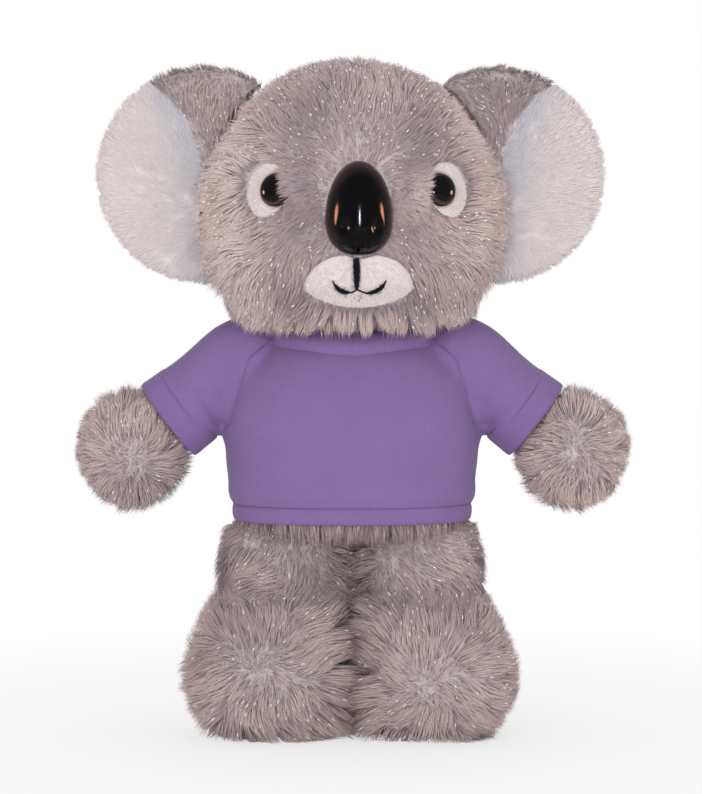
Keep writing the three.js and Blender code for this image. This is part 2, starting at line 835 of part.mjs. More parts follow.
const coarse_step = 3;
function shirtForm(inset, low, sides, coarse = false) {
  const kept = shirt_profile_shares.filter((_, i) => !coarse || i % coarse_step === 0);
  const rings = kept.map(([height, width, depth], i) => ({
    x: 0,
    y: 0,
    z: i ? hem_height + height * (neckline_height - inset - hem_height) : low,
    half_width: width * chest_half_width - inset,
    front: depth * chest_half_depth - inset,
    back: depth * chest_half_depth - inset,
  }));
  return solidOf(ringForm(rings, sides, body_power, sloped));
}

// Collar: a cone that draws in towards the neck, moved inwards by inset.
function collarCone(inset, low, high) {
  const ringAt = (z) => {
    const drawn = inset + (collar_draw_in * (z - neckline_height)) / collar_height;
    return {
      x: 0,
      y: 0,
      z,
      half_width: collar_half_width - drawn,
      front: collar_half_depth - drawn,
      back: collar_half_depth - drawn,
    };
  };
  return solidOf(ringForm([ringAt(low), ringAt(high)], body_sides, collar_power, sloped));
}

function makeTorso() {
  const torso = new THREE.Group();
  const sweep = armSweep(1).add(armSweep(-1));
  const collar_top = neckline_height + collar_height;
  const under_shirt = knit_thickness + seam_gap;
  const neck_root = neckline_height - collar_thickness;

  const neck_cone = collarCone(collar_thickness + seam_gap, neck_root, collar_top - seam_gap);
  const neck_stub = post(neck_radius, neck_root, neck_top, neck_sides);
  const outer = shirtForm(under_shirt, torso_floor, body_sides).add(neck_cone).add(neck_stub);
  const cavity_low = torso_floor + torso_wall;
  const bore = post(neck_bore_radius, cavity_low + torso_wall, neck_top + cut_overrun, round_sides);
  const inner = shirtForm(under_shirt + torso_wall, cavity_low, inner_sides, true);
  const skin = outer.subtract(inner).subtract(bore).subtract(sweep);
  const stuffing_low = cavity_low + stuffing_gap;
  const filled = shirtForm(under_shirt + torso_wall + stuffing_gap, stuffing_low, inner_sides, true);
  const plug = post(neck_bore_radius - stuffing_gap, stuffing_low, neck_top - seam_gap, inner_sides);
  const stuffing = filled.add(plug).subtract(sweep);
  torso.add(piece("torso_skin", geometryOf(skin), fabric(grey_fur)));
  torso.add(piece("torso_stuffing", geometryOf(stuffing), fabric(stuffing_white)));

  const neck_hole_ring = (z) => ({
    x: 0,
    y: 0,
    z,
    half_width: collar_half_width + seam_gap,
    front: collar_half_depth + seam_gap,
    back: collar_half_depth + seam_gap,
  });
  const neck_hole_rings = [neckline_height - cut_overrun, collar_top].map(neck_hole_ring);
  const neck_hole = solidOf(ringForm(neck_hole_rings, body_sides, collar_power));
  const collar = collarCone(0, neckline_height, collar_top).subtract(
    collarCone(collar_thickness, neckline_height - collar_thickness, collar_top + collar_thickness),
  );
  torso.add(piece("shirt_collar", geometryOf(collar), fabric(purple_knit)));

  const band_top = hem_height + hem_band_height;
  const inside = shirtForm(knit_thickness, hem_height - cut_overrun, body_sides);
  const shell = shirtForm(0, hem_height, body_sides).subtract(inside);
  const band_block = (low, high, y0, y1) => {
    const wide = 2 * (chest_half_width + cut_overrun);
    const block = new THREE.BoxGeometry(wide, y1 - y0, high - low);
    return solidOf(block.translate(0, (y0 + y1) / 2, (low + high) / 2));
  };
  const reach = chest_half_depth + cut_overrun;
  const room = neckline_height + cut_overrun;
  const panels = shell.subtract(neck_hole).subtract(sweep);
  const front = panels.intersect(band_block(band_top + seam_gap, room, -reach, -seam_gap / 2));
  const back = panels.intersect(band_block(band_top + seam_gap, room, seam_gap / 2, reach));
  const band = shirtForm(-hem_band_proud, hem_height, body_sides)
    .subtract(inside)
    .intersect(band_block(hem_height, band_top, -reach, reach));
  torso.add(piece("shirt_front", geometryOf(front), fabric(purple_knit)));
  torso.add(piece("shirt_back", geometryOf(back), fabric(purple_knit)));
  torso.add(piece("shirt_hem", geometryOf(band), fabric(purple_knit)));
  return torso;
}

// Foot: level rings, shares of its height, outer reach, toe and heel. Inner is how far a ring draws back from
// the crotch, as a share of the outer reach.
const foot_profile_shares = [
  { height: 0, outer: 0.79, toe: 0.74, heel: 0.55, inner: 0.12 },
  { height: 0.06, outer: 0.87, toe: 0.86, heel: 0.73, inner: 0.055 },
  { height: 0.16, outer: 0.945, toe: 0.94, heel: 0.85, inner: 0.015 },
  { height: 0.32, outer: 0.99, toe: 1, heel: 0.94, inner: 0 },
  { height: 0.51, outer: 1, toe: 0.99, heel: 0.98, inner: 0 },
  { height: 0.68, outer: 0.96, toe: 0.92, heel: 1, inner: 0 },
  { height: 0.82, outer: 0.905, toe: 0.8, heel: 1.04, inner: 0 },
  { height: 0.92, outer: 0.86, toe: 0.7, heel: 1.08, inner: 0.005 },
  { height: 1, outer: 0.808, toe: 0.622, heel: 1.1, inner: 0.018 },
];

// Thigh above the foot: its front is a round barrel about the hip's axis. Turn is the share of a quarter
// turn from the level of the axis to the top of the leg; outer, back and inner are shares as on the foot.
const thigh_front_y = -hip_y - hip_radius;
const hip_z = leg_top - hip_radius;
const thigh_profile_shares = [
  { turn: 0, outer: 1, back: 1, inner: 0 },
  { turn: 0.28, outer: 0.995, back: 1, inner: 0.01 },
  { turn: 0.56, outer: 0.97, back: 0.965, inner: 0.03 },
  { turn: 0.8, outer: 0.93, back: 0.9, inner: 0.06 },
  { turn: 1, outer: 0.88, back: 0.76, inner: 0.1 },
];
const above_crease_shares = { height: 0.08, outer: 0.988, front: 0.03, back: 0.98 };

function legRings(side) {
  const ring = (z, inner, outer, front_y, back_y) => ({
    z,
    x: (side * (inner + outer)) / 2,
    y: (front_y + back_y) / 2,
    half_width: (outer - inner) / 2,
    front: (back_y - front_y) / 2,
    back: (back_y - front_y) / 2,
  });
  const inside = crotch_gap / 2;
  const foot = foot_profile_shares.map((s) =>
    ring(
      s.height * foot_height,
      inside + s.inner * foot_outer,
      s.outer * foot_outer,
      -s.toe * foot_toe,
      s.heel * foot_heel,
    ),
  );
  const above_crease = ring(
    foot_height + above_crease_shares.height * foot_height,
    inside,
    above_crease_shares.outer * thigh_outer,
    thigh_front_y + above_crease_shares.front * hip_radius,
    above_crease_shares.back * thigh_half_depth,
  );
  const thigh = thigh_profile_shares.map((s) => {
    const angle = (s.turn * Math.PI) / 2;
    return ring(
      hip_z + hip_radius * Math.sin(angle),
      inside + s.inner * thigh_outer,
      s.outer * thigh_outer,
      -hip_y - hip_radius * Math.cos(angle),
      s.back * thigh_half_depth,
    );
  });
  return [...foot, above_crease, ...thigh];
}

const leg_power = 2.5;
function legForm(side, inset, sides, coarse = false) {
  const top = foot_profile_shares.length + thigh_profile_shares.length;
  const kept = legRings(side).filter((_, i) => !coarse || i % coarse_step === 0 || i === top);
  const rings = kept.map((ring) => ({
    ...ring,
    z: inset + (ring.z * (leg_top - 2 * inset)) / leg_top,
    half_width: ring.half_width - inset,
    front: ring.front - inset,
    back: ring.back - inset,
  }));
  return solidOf(ringForm(rings, sides, leg_power));
}

function makeLeg({ side, label }) {
  const leg = new THREE.Group();
  const opening_x = (side * thigh_outer) / 2;
  const opening_low = leg_top - leg_opening_depth;
  const opening = post(leg_opening_radius, opening_low, leg_top + cut_overrun, inner_sides, opening_x);
  const plug_radius = leg_opening_radius - stuffing_gap;
  const plug = post(plug_radius, opening_low, leg_top - seam_gap, inner_sides, opening_x);
  const hollow = legForm(side, leg_wall, inner_sides, true);
  const skin = legForm(side, 0, limb_sides).subtract(hollow).subtract(opening);
  const stuffing = legForm(side, leg_wall + stuffing_gap, inner_sides, true).add(plug);
  leg.add(piece("leg_skin_" + label, geometryOf(skin), fabric(grey_fur)));
  leg.add(piece("leg_stuffing_" + label, geometryOf(stuffing), fabric(stuffing_white)));
  return leg;
}

const koala = new THREE.Group();
const body = new THREE.Group();
body.position.y = body_axis_y;
body.add(makeHead(), makeTorso());
for (const side_of_toy of sides_of_toy) body.add(makeArm(side_of_toy), makeLeg(side_of_toy));
koala.add(body);

export default koala;
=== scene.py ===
# Plush koala in a T-shirt, dressed for pictures around its fixed frame. Metres, +Z up, facing -Y.
import math

import bpy
import numpy as np
from mathutils import Matrix, Vector, kdtree
from mathutils.bvhtree import BVHTree


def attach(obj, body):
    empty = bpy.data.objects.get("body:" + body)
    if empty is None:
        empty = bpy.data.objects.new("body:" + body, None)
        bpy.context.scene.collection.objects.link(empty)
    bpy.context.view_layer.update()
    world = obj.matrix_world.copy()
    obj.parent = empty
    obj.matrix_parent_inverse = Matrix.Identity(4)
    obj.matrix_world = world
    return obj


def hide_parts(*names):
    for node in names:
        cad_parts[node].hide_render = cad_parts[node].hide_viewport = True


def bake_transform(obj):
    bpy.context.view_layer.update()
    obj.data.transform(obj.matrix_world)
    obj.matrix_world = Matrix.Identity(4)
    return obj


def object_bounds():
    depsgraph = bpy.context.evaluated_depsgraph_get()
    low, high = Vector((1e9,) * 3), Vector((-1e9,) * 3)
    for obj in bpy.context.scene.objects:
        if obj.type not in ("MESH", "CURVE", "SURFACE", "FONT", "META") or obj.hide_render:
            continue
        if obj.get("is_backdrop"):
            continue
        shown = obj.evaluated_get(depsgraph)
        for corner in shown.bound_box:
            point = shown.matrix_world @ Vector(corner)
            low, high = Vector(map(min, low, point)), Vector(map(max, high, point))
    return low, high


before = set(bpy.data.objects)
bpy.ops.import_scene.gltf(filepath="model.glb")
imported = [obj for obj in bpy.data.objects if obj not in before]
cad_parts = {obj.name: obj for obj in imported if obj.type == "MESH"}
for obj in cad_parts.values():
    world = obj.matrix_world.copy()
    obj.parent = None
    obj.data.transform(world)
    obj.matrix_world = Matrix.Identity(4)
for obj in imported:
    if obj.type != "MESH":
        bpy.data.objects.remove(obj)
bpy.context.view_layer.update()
mm = 0.001

# Camera: a little above the level of the chest and far enough away that the head and feet keep their
# sizes. A pixel of the picture, which is 702 wide and 794 high, is 0.45 mm at the toy.
picture_height = 794
metres_per_pixel = 0.45 * mm
camera_distance = 1.6
camera_elevation = math.radians(3.5)
film_width = 36
aim = Vector((-0.5 * mm, 9 * mm, 151.5 * mm))
camera = bpy.data.objects.new("camera", bpy.data.cameras.new("camera"))
bpy.context.scene.collection.objects.link(camera)
bpy.context.scene.camera = camera
camera.data.sensor_width = film_width
camera.data.lens = film_width * camera_distance / (picture_height * metres_per_pixel)
away = Vector((0, -math.cos(camera_elevation), math.sin(camera_elevation)))
camera.location = aim + away * camera_distance
camera.rotation_euler = away.to_track_quat("Z", "Y").to_euler()
camera.data.clip_start = 0.05
camera.data.clip_end = 20


# Head skin: a ball of grey plush, sewn from shaped panels and stuffed firm. Its knitted backing lies
# under the pile, coloured darker than the hair, and shows only as painted shade between the hairs.
def select_only(*pieces):
    """Selects these pieces and nothing else, the first of them as the active one."""
    for other in bpy.context.selected_objects:
        other.select_set(False)
    for piece in pieces:
        piece.select_set(True)
    if pieces:
        bpy.context.view_layer.objects.active = pieces[0]


def rename(piece, name):
    piece.name = name
    piece.data.name = name


def placed(name, data):
    """A new piece in the scene with this mesh, curve or lamp."""
    piece = bpy.data.objects.new(name, data)
    bpy.context.scene.collection.objects.link(piece)
    return piece


def edit_all(step, **settings):
    """One step of mesh editing on the whole of the active piece."""
    bpy.ops.object.mode_set(mode="EDIT")
    bpy.ops.mesh.select_all(action="SELECT")
    step(**settings)
    bpy.ops.object.mode_set(mode="OBJECT")


def apply_modifier(piece, kind, **settings):
    modifier = piece.modifiers.new(kind.lower(), kind)
    for name, value in settings.items():
        setattr(modifier, name, value)
    bpy.context.view_layer.objects.active = piece
    bpy.ops.object.modifier_apply(modifier=modifier.name)


def read(rows, name, width=3, kind=float):
    """One value of every vertex, face or corner of a mesh."""
    values = np.empty(len(rows) * width, kind)
    rows.foreach_get(name, values)
    return values.reshape(-1, width)


def vertex_places(piece):
    return read(piece.data.vertices, "co")


def move_vertices(piece, places):
    piece.data.vertices.foreach_set("co", places.ravel())
    piece.data.update()


def solid_copy(names):
    """The frame's solids of these names as one welded mesh, to fit a skin to."""
    copies = [placed("fit_" + name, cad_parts[name].data.copy()) for name in names]
    select_only(*copies)
    bpy.ops.object.join()
    edit_all(bpy.ops.mesh.remove_doubles, threshold=1e-6)
    return copies[0]


def stuffed_skin(name, names, pile_depth, grain=2.4 * mm, rounding=3):
    """One smooth skin over solids of the frame, let in by the depth of its pile."""
    skin = solid_copy(names)
    rename(skin, name)
    apply_modifier(skin, "REMESH", mode="VOXEL", voxel_size=grain, use_smooth_shade=True)
    apply_modifier(skin, "SMOOTH", factor=0.5, iterations=rounding)
    select_only(skin)
    edit_all(bpy.ops.mesh.separate, type="LOOSE")
    *scraps, skin = sorted(bpy.context.selected_objects, key=lambda shell: sum(shell.dimensions))
    for scrap in scraps:
        bpy.data.objects.remove(scrap)
    rename(skin, name)
    apply_modifier(skin, "DISPLACE", strength=-pile_depth, mid_level=0)
    apply_modifier(skin, "SMOOTH", factor=0.5, iterations=rounding)
    select_only(skin)
    bpy.ops.object.shade_smooth()
    return skin


def colour(red, green, blue):
    """A colour on the 0 to 255 scale of a picture, as the number that a shader takes."""
    return tuple(((c / 255 + 0.055) / 1.055) ** 2.4 for c in (red, green, blue)) + (1,)


def set_values(node, **values):
    """Gives a shader node its settings and the values of its inputs."""
    for name, value in values.items():
        if hasattr(node, name):
            setattr(node, name, value)
        else:
            node.inputs[name.replace("_", " ")].default_value = value


def add_node(tree, kind, **values):
    node = tree.nodes.new("ShaderNode" + kind)
    set_values(node, **values)
    return node


def add_ramp(tree, *stops):
    """A run of shades, each at its place from 0 to 1."""
    ramp = tree.nodes.new("ShaderNodeValToRGB")
    elements = ramp.color_ramp.elements
    while len(elements) < len(stops):
        elements.new(0.5)
    for element, (place, shade) in zip(elements, stops):
        element.position = place
        element.color = shade
    return ramp


def wire(tree, *runs):
    """Joins nodes: each run is a node, its output, the next node and its input."""
    for source, output, target, entry in runs:
        tree.links.new(source.outputs[output], target.inputs[entry])


def start_material(name):
    """A new material, its node tree and its main shader."""
    material = bpy.data.materials.new(name)
    material.use_nodes = True
    return material, material.node_tree, material.node_tree.nodes["Principled BSDF"]


def backing_material(name, dark, pale):
    """Knitted backing between the hairs: two close shades in soft patches, matt."""
    material, tree, shader = start_material(name)
    place = add_node(tree, "TexCoord")
    noise = add_node(tree, "TexNoise", Scale=260, Detail=4)
    shades = add_ramp(tree, (0.35, dark), (0.65, pale))
    bump = add_node(tree, "Bump", Strength=0.6, Distance=1 * mm)
    wire(
        tree, (place, "Object", noise, "Vector"), (noise, "Fac", shades, "Fac"),
        (noise, "Fac", bump, "Height"), (shades, "Color", shader, "Base Color"),
        (bump, "Normal", shader, "Normal"),
    )
    set_values(shader, Roughness=0.95, Specular_IOR_Level=0.1)
    return material


# The grey backing is darker than the hair: painted shade between the hairs.
grey_backing = backing_material("grey_backing", colour(126, 118, 124), colour(156, 143, 146))
head_parts = (
    "head_skin", "head_stuffing", "muzzle_patch", "nose",
    "eye_patch_left", "eye_patch_right", "eye_left", "eye_right",
)
head_skin = stuffed_skin("head_cover", head_parts, 4.5 * mm, rounding=4)
head_skin.data.materials.append(grey_backing)
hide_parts("head_skin", "head_stuffing")
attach(head_skin, "head")

# Head pile: soft tufted hair, short round the nose and long on the cheeks and chin, that spreads from
# the bridge of the nose over the crown and lies down the back of the head.
face_turn = math.radians(3)
body_axis_y = 9 * mm
nose_bridge = np.array((0, -70, 250)) * mm


def in_face(places):
    """Places seen from the face, which is turned a little on the neck, with its middle at x = 0."""
    c, s = math.cos(face_turn), math.sin(face_turn)
    x = places[:, 0]
    y = places[:, 1] - body_axis_y
    return np.column_stack((c * x + s * y, c * y - s * x, places[:, 2]))


def from_face(directions):
    c, s = math.cos(face_turn), math.sin(face_turn)
    x, y = directions[:, 0], directions[:, 1]
    return np.column_stack((c * x - s * y, s * x + c * y, directions[:, 2]))


def unit(vectors):
    return vectors / np.maximum(np.linalg.norm(vectors, axis=1), 1e-9)[:, None]


def rise(values, low, high):
    """0 up to low, 1 from high, and a smooth step between."""
    share = np.clip((values - low) / (high - low), 0, 1)
    return share * share * (3 - 2 * share)


def hump(*spans):
    """1 where every offset is 0, falling off smoothly over the width that comes with it."""
    return np.exp(-sum((offset / width) ** 2 for offset, width in spans))


def waves(places, seed, length):
    """Soft noise of about -1 to 1, made of a few waves that cross at random."""
    random = np.random.default_rng(seed)
    directions = random.normal(size=(6, 3)) / length * 2.5
    return np.sin(places @ directions.T + random.uniform(0, 6.28, 6)).mean(axis=1) * 1.8


def scatter(skin, per_mm2, seed):
    """Roots of hairs spread evenly over a skin, with the skin's outward direction at each."""
    mesh = skin.data
    mesh.calc_loop_triangles()
    corners = read(mesh.loop_triangles, "vertices", 3, int)
    places = read(mesh.vertices, "co")[corners]
    normals = read(mesh.vertices, "normal")[corners]
    area = np.linalg.norm(np.cross(places[:, 1] - places[:, 0], places[:, 2] - places[:, 0]), axis=1) / 2
    random = np.random.default_rng(seed)
    count = int(area.sum() / mm**2 * per_mm2)
    face = random.choice(len(area), count, p=area / area.sum())
    share = np.sort(random.random((count, 2)), axis=1)
    share = np.column_stack((share[:, 0], share[:, 1] - share[:, 0], 1 - share[:, 1]))
    return (places[face] * share[:, :, None]).sum(1), unit((normals[face] * share[:, :, None]).sum(1))


def give_values(mesh, name, values):
    """One number for each vertex, for materials to read."""
    mesh.attributes.new(name, "FLOAT", "POINT").data.foreach_set("value", values)


def pile(
    name, places, normals, flow, length, lean, tint, material, seed, width=0.15 * mm, clump=0.35, tuft=30,
    joints=(0, 0.5), swirl=0.35, tinsel=0.0,
):
    """Hairs as thin closed spikes: each rises from its root and lies over along the flow, towards the tip
    of the tuft that it belongs to. Lean is how far the root and the tip lie over, in radians; tinsel is the
    share of hairs that are tinsel film, each with a short stretch painted white as a painted glint. Their
    normals follow the skin and look a little to the front, so that the light falls on the pile as on one
    soft surface and not as on single spikes."""
    random = np.random.default_rng(seed)
    count = len(places)
    flow = unit(flow - normals * (flow * normals).sum(1)[:, None])
    across = np.cross(normals, flow)
    turn = swirl * waves(places, seed + 1, 20 * mm) + random.normal(0, 0.14, count)
    flow = flow * np.cos(turn)[:, None] + across * np.sin(turn)[:, None]
    length = length * random.uniform(0.7, 1.15, count)
    rings = np.array(joints + (1.0,))
    start = lean[0] + random.normal(0, 0.1, count)
    end = lean[1] + random.normal(0, 0.13, count)
    lines = np.empty((count, len(rings), 3))
    lines[:, 0] = places - normals * 0.4 * mm
    for k in range(1, len(rings)):
        middle = (rings[k] + rings[k - 1]) / 2
        angle = (start + (end - start) * middle)[:, None]
        step = normals * np.cos(angle) + flow * np.sin(angle)
        lines[:, k] = lines[:, k - 1] + step * (length * (rings[k] - rings[k - 1]))[:, None]
    leaders = random.choice(count, max(count // tuft, 1), replace=False)
    tree = kdtree.KDTree(len(leaders))
    for i, leader in enumerate(leaders):
        tree.insert(places[leader], i)
    tree.balance()
    leader = leaders[[tree.find(p)[1] for p in places]]
    pull = (clump * random.uniform(0.3, 1.0, count))[:, None, None] * rings[None, :, None] ** 1.3
    lines += (lines[leader] - lines) * pull
    lines[:, :, 2] = np.maximum(lines[:, :, 2], 0.3 * mm)

    along = unit(lines[:, -1] - lines[:, 0])
    side = unit(np.cross(along, normals) + 1e-6)
    up = np.cross(along, side)
    corner = np.radians((90, 210, 330))
    spread = side[:, None, :] * np.cos(corner)[None, :, None] + up[:, None, :] * np.sin(corner)[None, :, None]
    levels = len(joints)
    bright = random.random(count) < tinsel
    thick = np.tile(width * (1 - rings[:-1] ** 2 * 0.8), (count, 1))
    thick[bright, -1] *= 3
    ring_points = lines[:, :levels, None, :] + spread[:, None] * thick[:, :, None, None]
    points = np.concatenate((ring_points.reshape(count, 3 * levels, 3), lines[:, levels:]), axis=1)
    outward = np.concatenate((np.tile(spread, (1, levels, 1)), np.zeros((count, 1, 3))), axis=1)
    soft = normals[:, None, :] + outward * 0.3 + np.array((0, -0.3, 0))
    soft = soft / np.linalg.norm(soft, axis=2)[:, :, None]

    last = 3 * levels
    quads = [
        (k + j, k + (j + 1) % 3, k + 3 + (j + 1) % 3, k + 3 + j)
        for k in range(0, last - 3, 3) for j in range(3)
    ]
    ends = [(last - 3 + j, last - 3 + (j + 1) % 3, last) for j in range(3)] + [(2, 1, 0)]
    pattern = np.array([v for corner_set in quads + ends for v in corner_set])
    sizes = np.array([4] * len(quads) + [3] * len(ends))
    corners = (pattern[None] + (last + 1) * np.arange(count)[:, None]).ravel()
    starts = np.concatenate(([0], np.cumsum(np.tile(sizes, count))[:-1]))
    mesh = bpy.data.meshes.new(name)
    mesh.vertices.add(count * (last + 1))
    mesh.vertices.foreach_set("co", points.ravel())
    mesh.loops.add(len(corners))
    mesh.loops.foreach_set("vertex_index", corners)
    mesh.polygons.add(len(starts))
    mesh.polygons.foreach_set("loop_start", starts)
    mesh.polygons.foreach_set("use_smooth", np.ones(len(starts), bool))
    mesh.polygons.foreach_set("material_index", np.repeat(bright.astype(int), len(sizes)))
    mesh.update(calc_edges=True)
    mesh.normals_split_custom_set_from_vertices(soft.reshape(-1, 3))
    cells = 64  # shades side by side on the map that the hairs of a pile share
    level = np.clip((tint * cells).astype(int), 0, cells - 1)
    height = np.tile(np.append(np.repeat(rings[:-1], 3), 1), count)
    give_values(mesh, "along", height)
    give_values(mesh, "tint", np.repeat((level + 0.5) / cells, last + 1))
    shift = np.array((0.15, 0.5, 0.85) * levels + (0.5,))
    u = (np.repeat(level, last + 1) + np.tile(shift, count)) / cells
    on_map = np.column_stack((u, 0.04 + 0.92 * height))[corners].reshape(count, len(pattern), 2)
    on_map[:, -2, 1] += 0.03
    mesh.uv_layers.new(name="OFBake").uv.foreach_set("vector", on_map.ravel())
    hair = placed(name, mesh)
    mesh.materials.append(material)
    if tinsel:
        mesh.materials.append(tinsel_glint_film)
    return hair


def pile_material(name, root, palette):
    """Hair: darker at the root, as painted shade deep in the pile, and each hair has one of the shades of a
    palette from 0 to 1.
    """
    material, tree, shader = start_material(name)
    tint = add_node(tree, "Attribute", attribute_name="tint")
    along = add_node(tree, "Attribute", attribute_name="along")
    shades = add_ramp(tree, *((i / (len(palette) - 1), shade) for i, shade in enumerate(palette)))
    # Painted shade: each hair runs from the root colour at its base to its own shade halfway up.
    depth = add_ramp(tree, (0.05, (0, 0, 0, 1)), (0.5, (1, 1, 1, 1)))
    mix = add_node(tree, "Mix", data_type="RGBA")
    mix.inputs[6].default_value = root
    wire(
        tree, (tint, "Fac", shades, "Fac"), (along, "Fac", depth, "Fac"), (depth, "Color", mix, 0),
        (shades, "Color", mix, 7), (mix, 2, shader, "Base Color"),
    )
    set_values(shader, Roughness=0.75, Specular_IOR_Level=0.25, Sheen_Weight=0.15, Sheen_Roughness=0.4)
    return material


def banded_material(name, value, stops, roughness, specular=0.5):
    """A smooth material whose shade follows one value that the mesh carries."""
    material, tree, shader = start_material(name)
    carried = add_node(tree, "Attribute", attribute_name=value)
    shades = add_ramp(tree, *stops)
    wire(tree, (carried, "Fac", shades, "Fac"), (shades, "Color", shader, "Base Color"))
    set_values(shader, Roughness=roughness, Specular_IOR_Level=specular)
    return material


# The root colours stand for painted shade deep in the pile.
grey_pile = pile_material("grey_pile", colour(142, 135, 143), [
    colour(150, 137, 143), colour(188, 170, 171), colour(218, 197, 194),
    colour(236, 214, 209), colour(248, 230, 225),
])
white_pile = pile_material("white_pile", colour(240, 234, 238), [
    colour(206, 208, 222), colour(222, 220, 228), colour(236, 229, 231),
    colour(246, 234, 232), colour(252, 243, 241),
])
# Tinsel film: a short bright stretch partway along each tinsel hair is a painted glint for its sparkle.
dull_film = colour(160, 146, 148)
painted_glint = colour(253, 253, 255)
tinsel_glint_shades = ((0.64, dull_film), (0.67, painted_glint), (0.77, painted_glint), (0.8, dull_film))
tinsel_glint_film = banded_material("tinsel_glint_film", "along", tinsel_glint_shades, 0.25)


# Eye patches and the muzzle patch in the face's own frame: middle x and z, half width and half height
eye_x = 36.24 * mm
eye_z = 245 * mm
patch_x = 39 * mm
patch_half_width = 9.5 * mm
patch_half_height = 12.4 * mm
muzzle_half_width = 24 * mm
muzzle_top = 216.6 * mm
muzzle_bottom = 195.6 * mm


def in_oval(face, x, z, half_width, half_height, size=1):
    """If places lie in an oval on the front of the head, the same on both sides of the middle line."""
    across = (np.abs(face[:, 0]) - x) / half_width
    up = (face[:, 2] - z) / half_height
    return (across * across + up * up < size) & (face[:, 1] < 0)


def on_muzzle(face):
    middle = (muzzle_top + muzzle_bottom) / 2 - 1 * mm
    half = (muzzle_top - muzzle_bottom) / 2
    z = (face[:, 2] - middle) / half
    x = face[:, 0] / muzzle_half_width / (1 - 0.28 * np.clip(z, 0, 1) - 0.16 * np.clip(-z, 0, 1))
    return (np.abs(x) ** 2.4 + np.abs(z) ** 2.4 < 1) & (face[:, 1] < 0)


def in_collar_recess(face):
    return (np.hypot(face[:, 0], face[:, 1]) < 33 * mm) & (face[:, 2] < 200 * mm)


def head_flow(face):
    """The way that the hair lies: away from the nose, and down at the back, cheeks and chin."""
    away_from_nose = unit(face - nose_bridge)
    down = np.array((0, 0, -1.0))
    back = rise(face[:, 1], -5 * mm, 40 * mm)[:, None]
    low = rise(-face[:, 2], -222 * mm, -192 * mm)[:, None]
    return from_face(unit(away_from_nose * (1 - back) * (1 - 0.5 * low) + down * (back * 1.2 + low * 1.4)))


places, normals = scatter(head_skin, 1.1, 11)
thinned = np.random.default_rng(10).random(len(places)) < 0.8
kept = (in_face(places)[:, 1] < 0) | thinned
places, normals = places[kept], normals[kept]
face = in_face(places)
bare = on_muzzle(face) | in_collar_recess(face)
bare |= in_oval(face, patch_x, eye_z + 0.6 * mm, patch_half_width, patch_half_height, 0.8)
bare |= in_oval(face, 0, 237 * mm, 13.5 * mm, 19.5 * mm) | in_oval(face, eye_x, eye_z, 7 * mm, 7 * mm)
places, normals, face = places[~bare], normals[~bare], face[~bare]
x, y, height = face.T
off_middle = np.abs(x)
front = y < 0
reach = np.linalg.norm(face - nose_bridge, axis=1)
low = rise(-height, -203 * mm, -190 * mm)
by_ear = rise(off_middle, 50 * mm, 60 * mm) * rise(height, 200 * mm, 212 * mm)
by_ear *= hump((y - 5 * mm, 24 * mm))
crown = rise(height, 284 * mm, 300 * mm)
length = (5.5 + 6.0 * rise(reach, 15 * mm, 62 * mm) - 0.7 * low + 3.5 * by_ear - 2.5 * crown) * mm
lean = (0.8 - 0.5 * low - 0.4 * by_ear, 1.35 - 0.8 * low - 0.55 * by_ear)
round_nose = 1 - rise(reach, 12 * mm, 26 * mm)
bridge = hump((x, 7 * mm)) * rise(height, 252 * mm, 258 * mm) * (1 - rise(height, 262 * mm, 280 * mm))
# Painted shade: the hair is darker beside the nose and at the lower corners of the muzzle.
muzzle_corner_shade = hump((off_middle - 24 * mm, 10 * mm), (height - 199 * mm, 10 * mm))
beside_nose_shade = hump((off_middle - 20 * mm, 8 * mm), (height - 232 * mm, 14 * mm))
# Painted light on the cheeks, stronger on the cheek at x < 0, which faces the key lamp.
painted_cheek_light = np.where(x < 0, 0.62, 0.5) * rise(off_middle, 28 * mm, 52 * mm)
random = np.random.default_rng(12)
tint = 0.36 + 0.17 * waves(places, 13, 30 * mm) + random.normal(0, 0.07, len(places))
tint -= 0.38 * muzzle_corner_shade * front
tint -= 0.22 * beside_nose_shade * front
tint += painted_cheek_light + 0.03 * round_nose - 0.06 * bridge + 0.26 * low
flow = head_flow(face)
quarters = {
    "head_pile_front_left": (x >= 0) & front,
    "head_pile_front_right": (x < 0) & front,
    "head_pile_back_left": (x >= 0) & ~front,
    "head_pile_back_right": (x < 0) & ~front,
}
for number, (name, part) in enumerate(quarters.items()):
    hair = pile(
        name, places[part], normals[part], flow[part], length[part], (lean[0][part], lean[1][part]),
        tint[part], grey_pile, 20 + number, clump=(0.45 + 0.25 * low)[part], tuft=60,
        joints=(0, 0.34, 0.68) if "front" in name else (0, 0.5), swirl=0.5, tinsel=0.032,
    )
    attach(hair, "head")

# Eyelids: the hair between the nose and each eye is thicker and lies out over the inner side of the eye.
# It grows from the same skin, with its roots a little in front of it.
places, normals = scatter(head_skin, 5, 25)
face = in_face(places)
x, y, height = face.T
lid_edge = (np.where(x > 0, 29.3, 32) + 1.2 * np.sin((height - 246 * mm) / (7 * mm))) * mm
inward = (lid_edge - np.abs(x)) / (11 * mm)
upward = (height - 244.5 * mm) / (13 * mm)
on_lid = (y < 0) & (inward > 0) & (inward < 1.4) & (np.abs(upward) < 1)
places, normals, face, inward, upward = (values[on_lid] for values in (places, normals, face, inward, upward))
lift = (1 - upward**2) * rise(-inward, -1.4, -0.25)
places = places + from_face(np.column_stack((0 * lift, -7 * mm * lift, 0 * lift)))
random = np.random.default_rng(26)
tint = 0.34 + 0.17 * waves(places, 13, 30 * mm) + random.normal(0, 0.07, len(places))
tint -= 0.12 * rise(inward, 0.4, 1.2)
hair = pile(
    "eyelid_pile", places, from_face(np.tile((0.0, -1.0, 0.0), (len(places), 1))), head_flow(face),
    np.full(len(places), 5 * mm), (1.0, 1.5), tint, grey_pile, 27, clump=0.5, tuft=40,
)
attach(hair, "head")

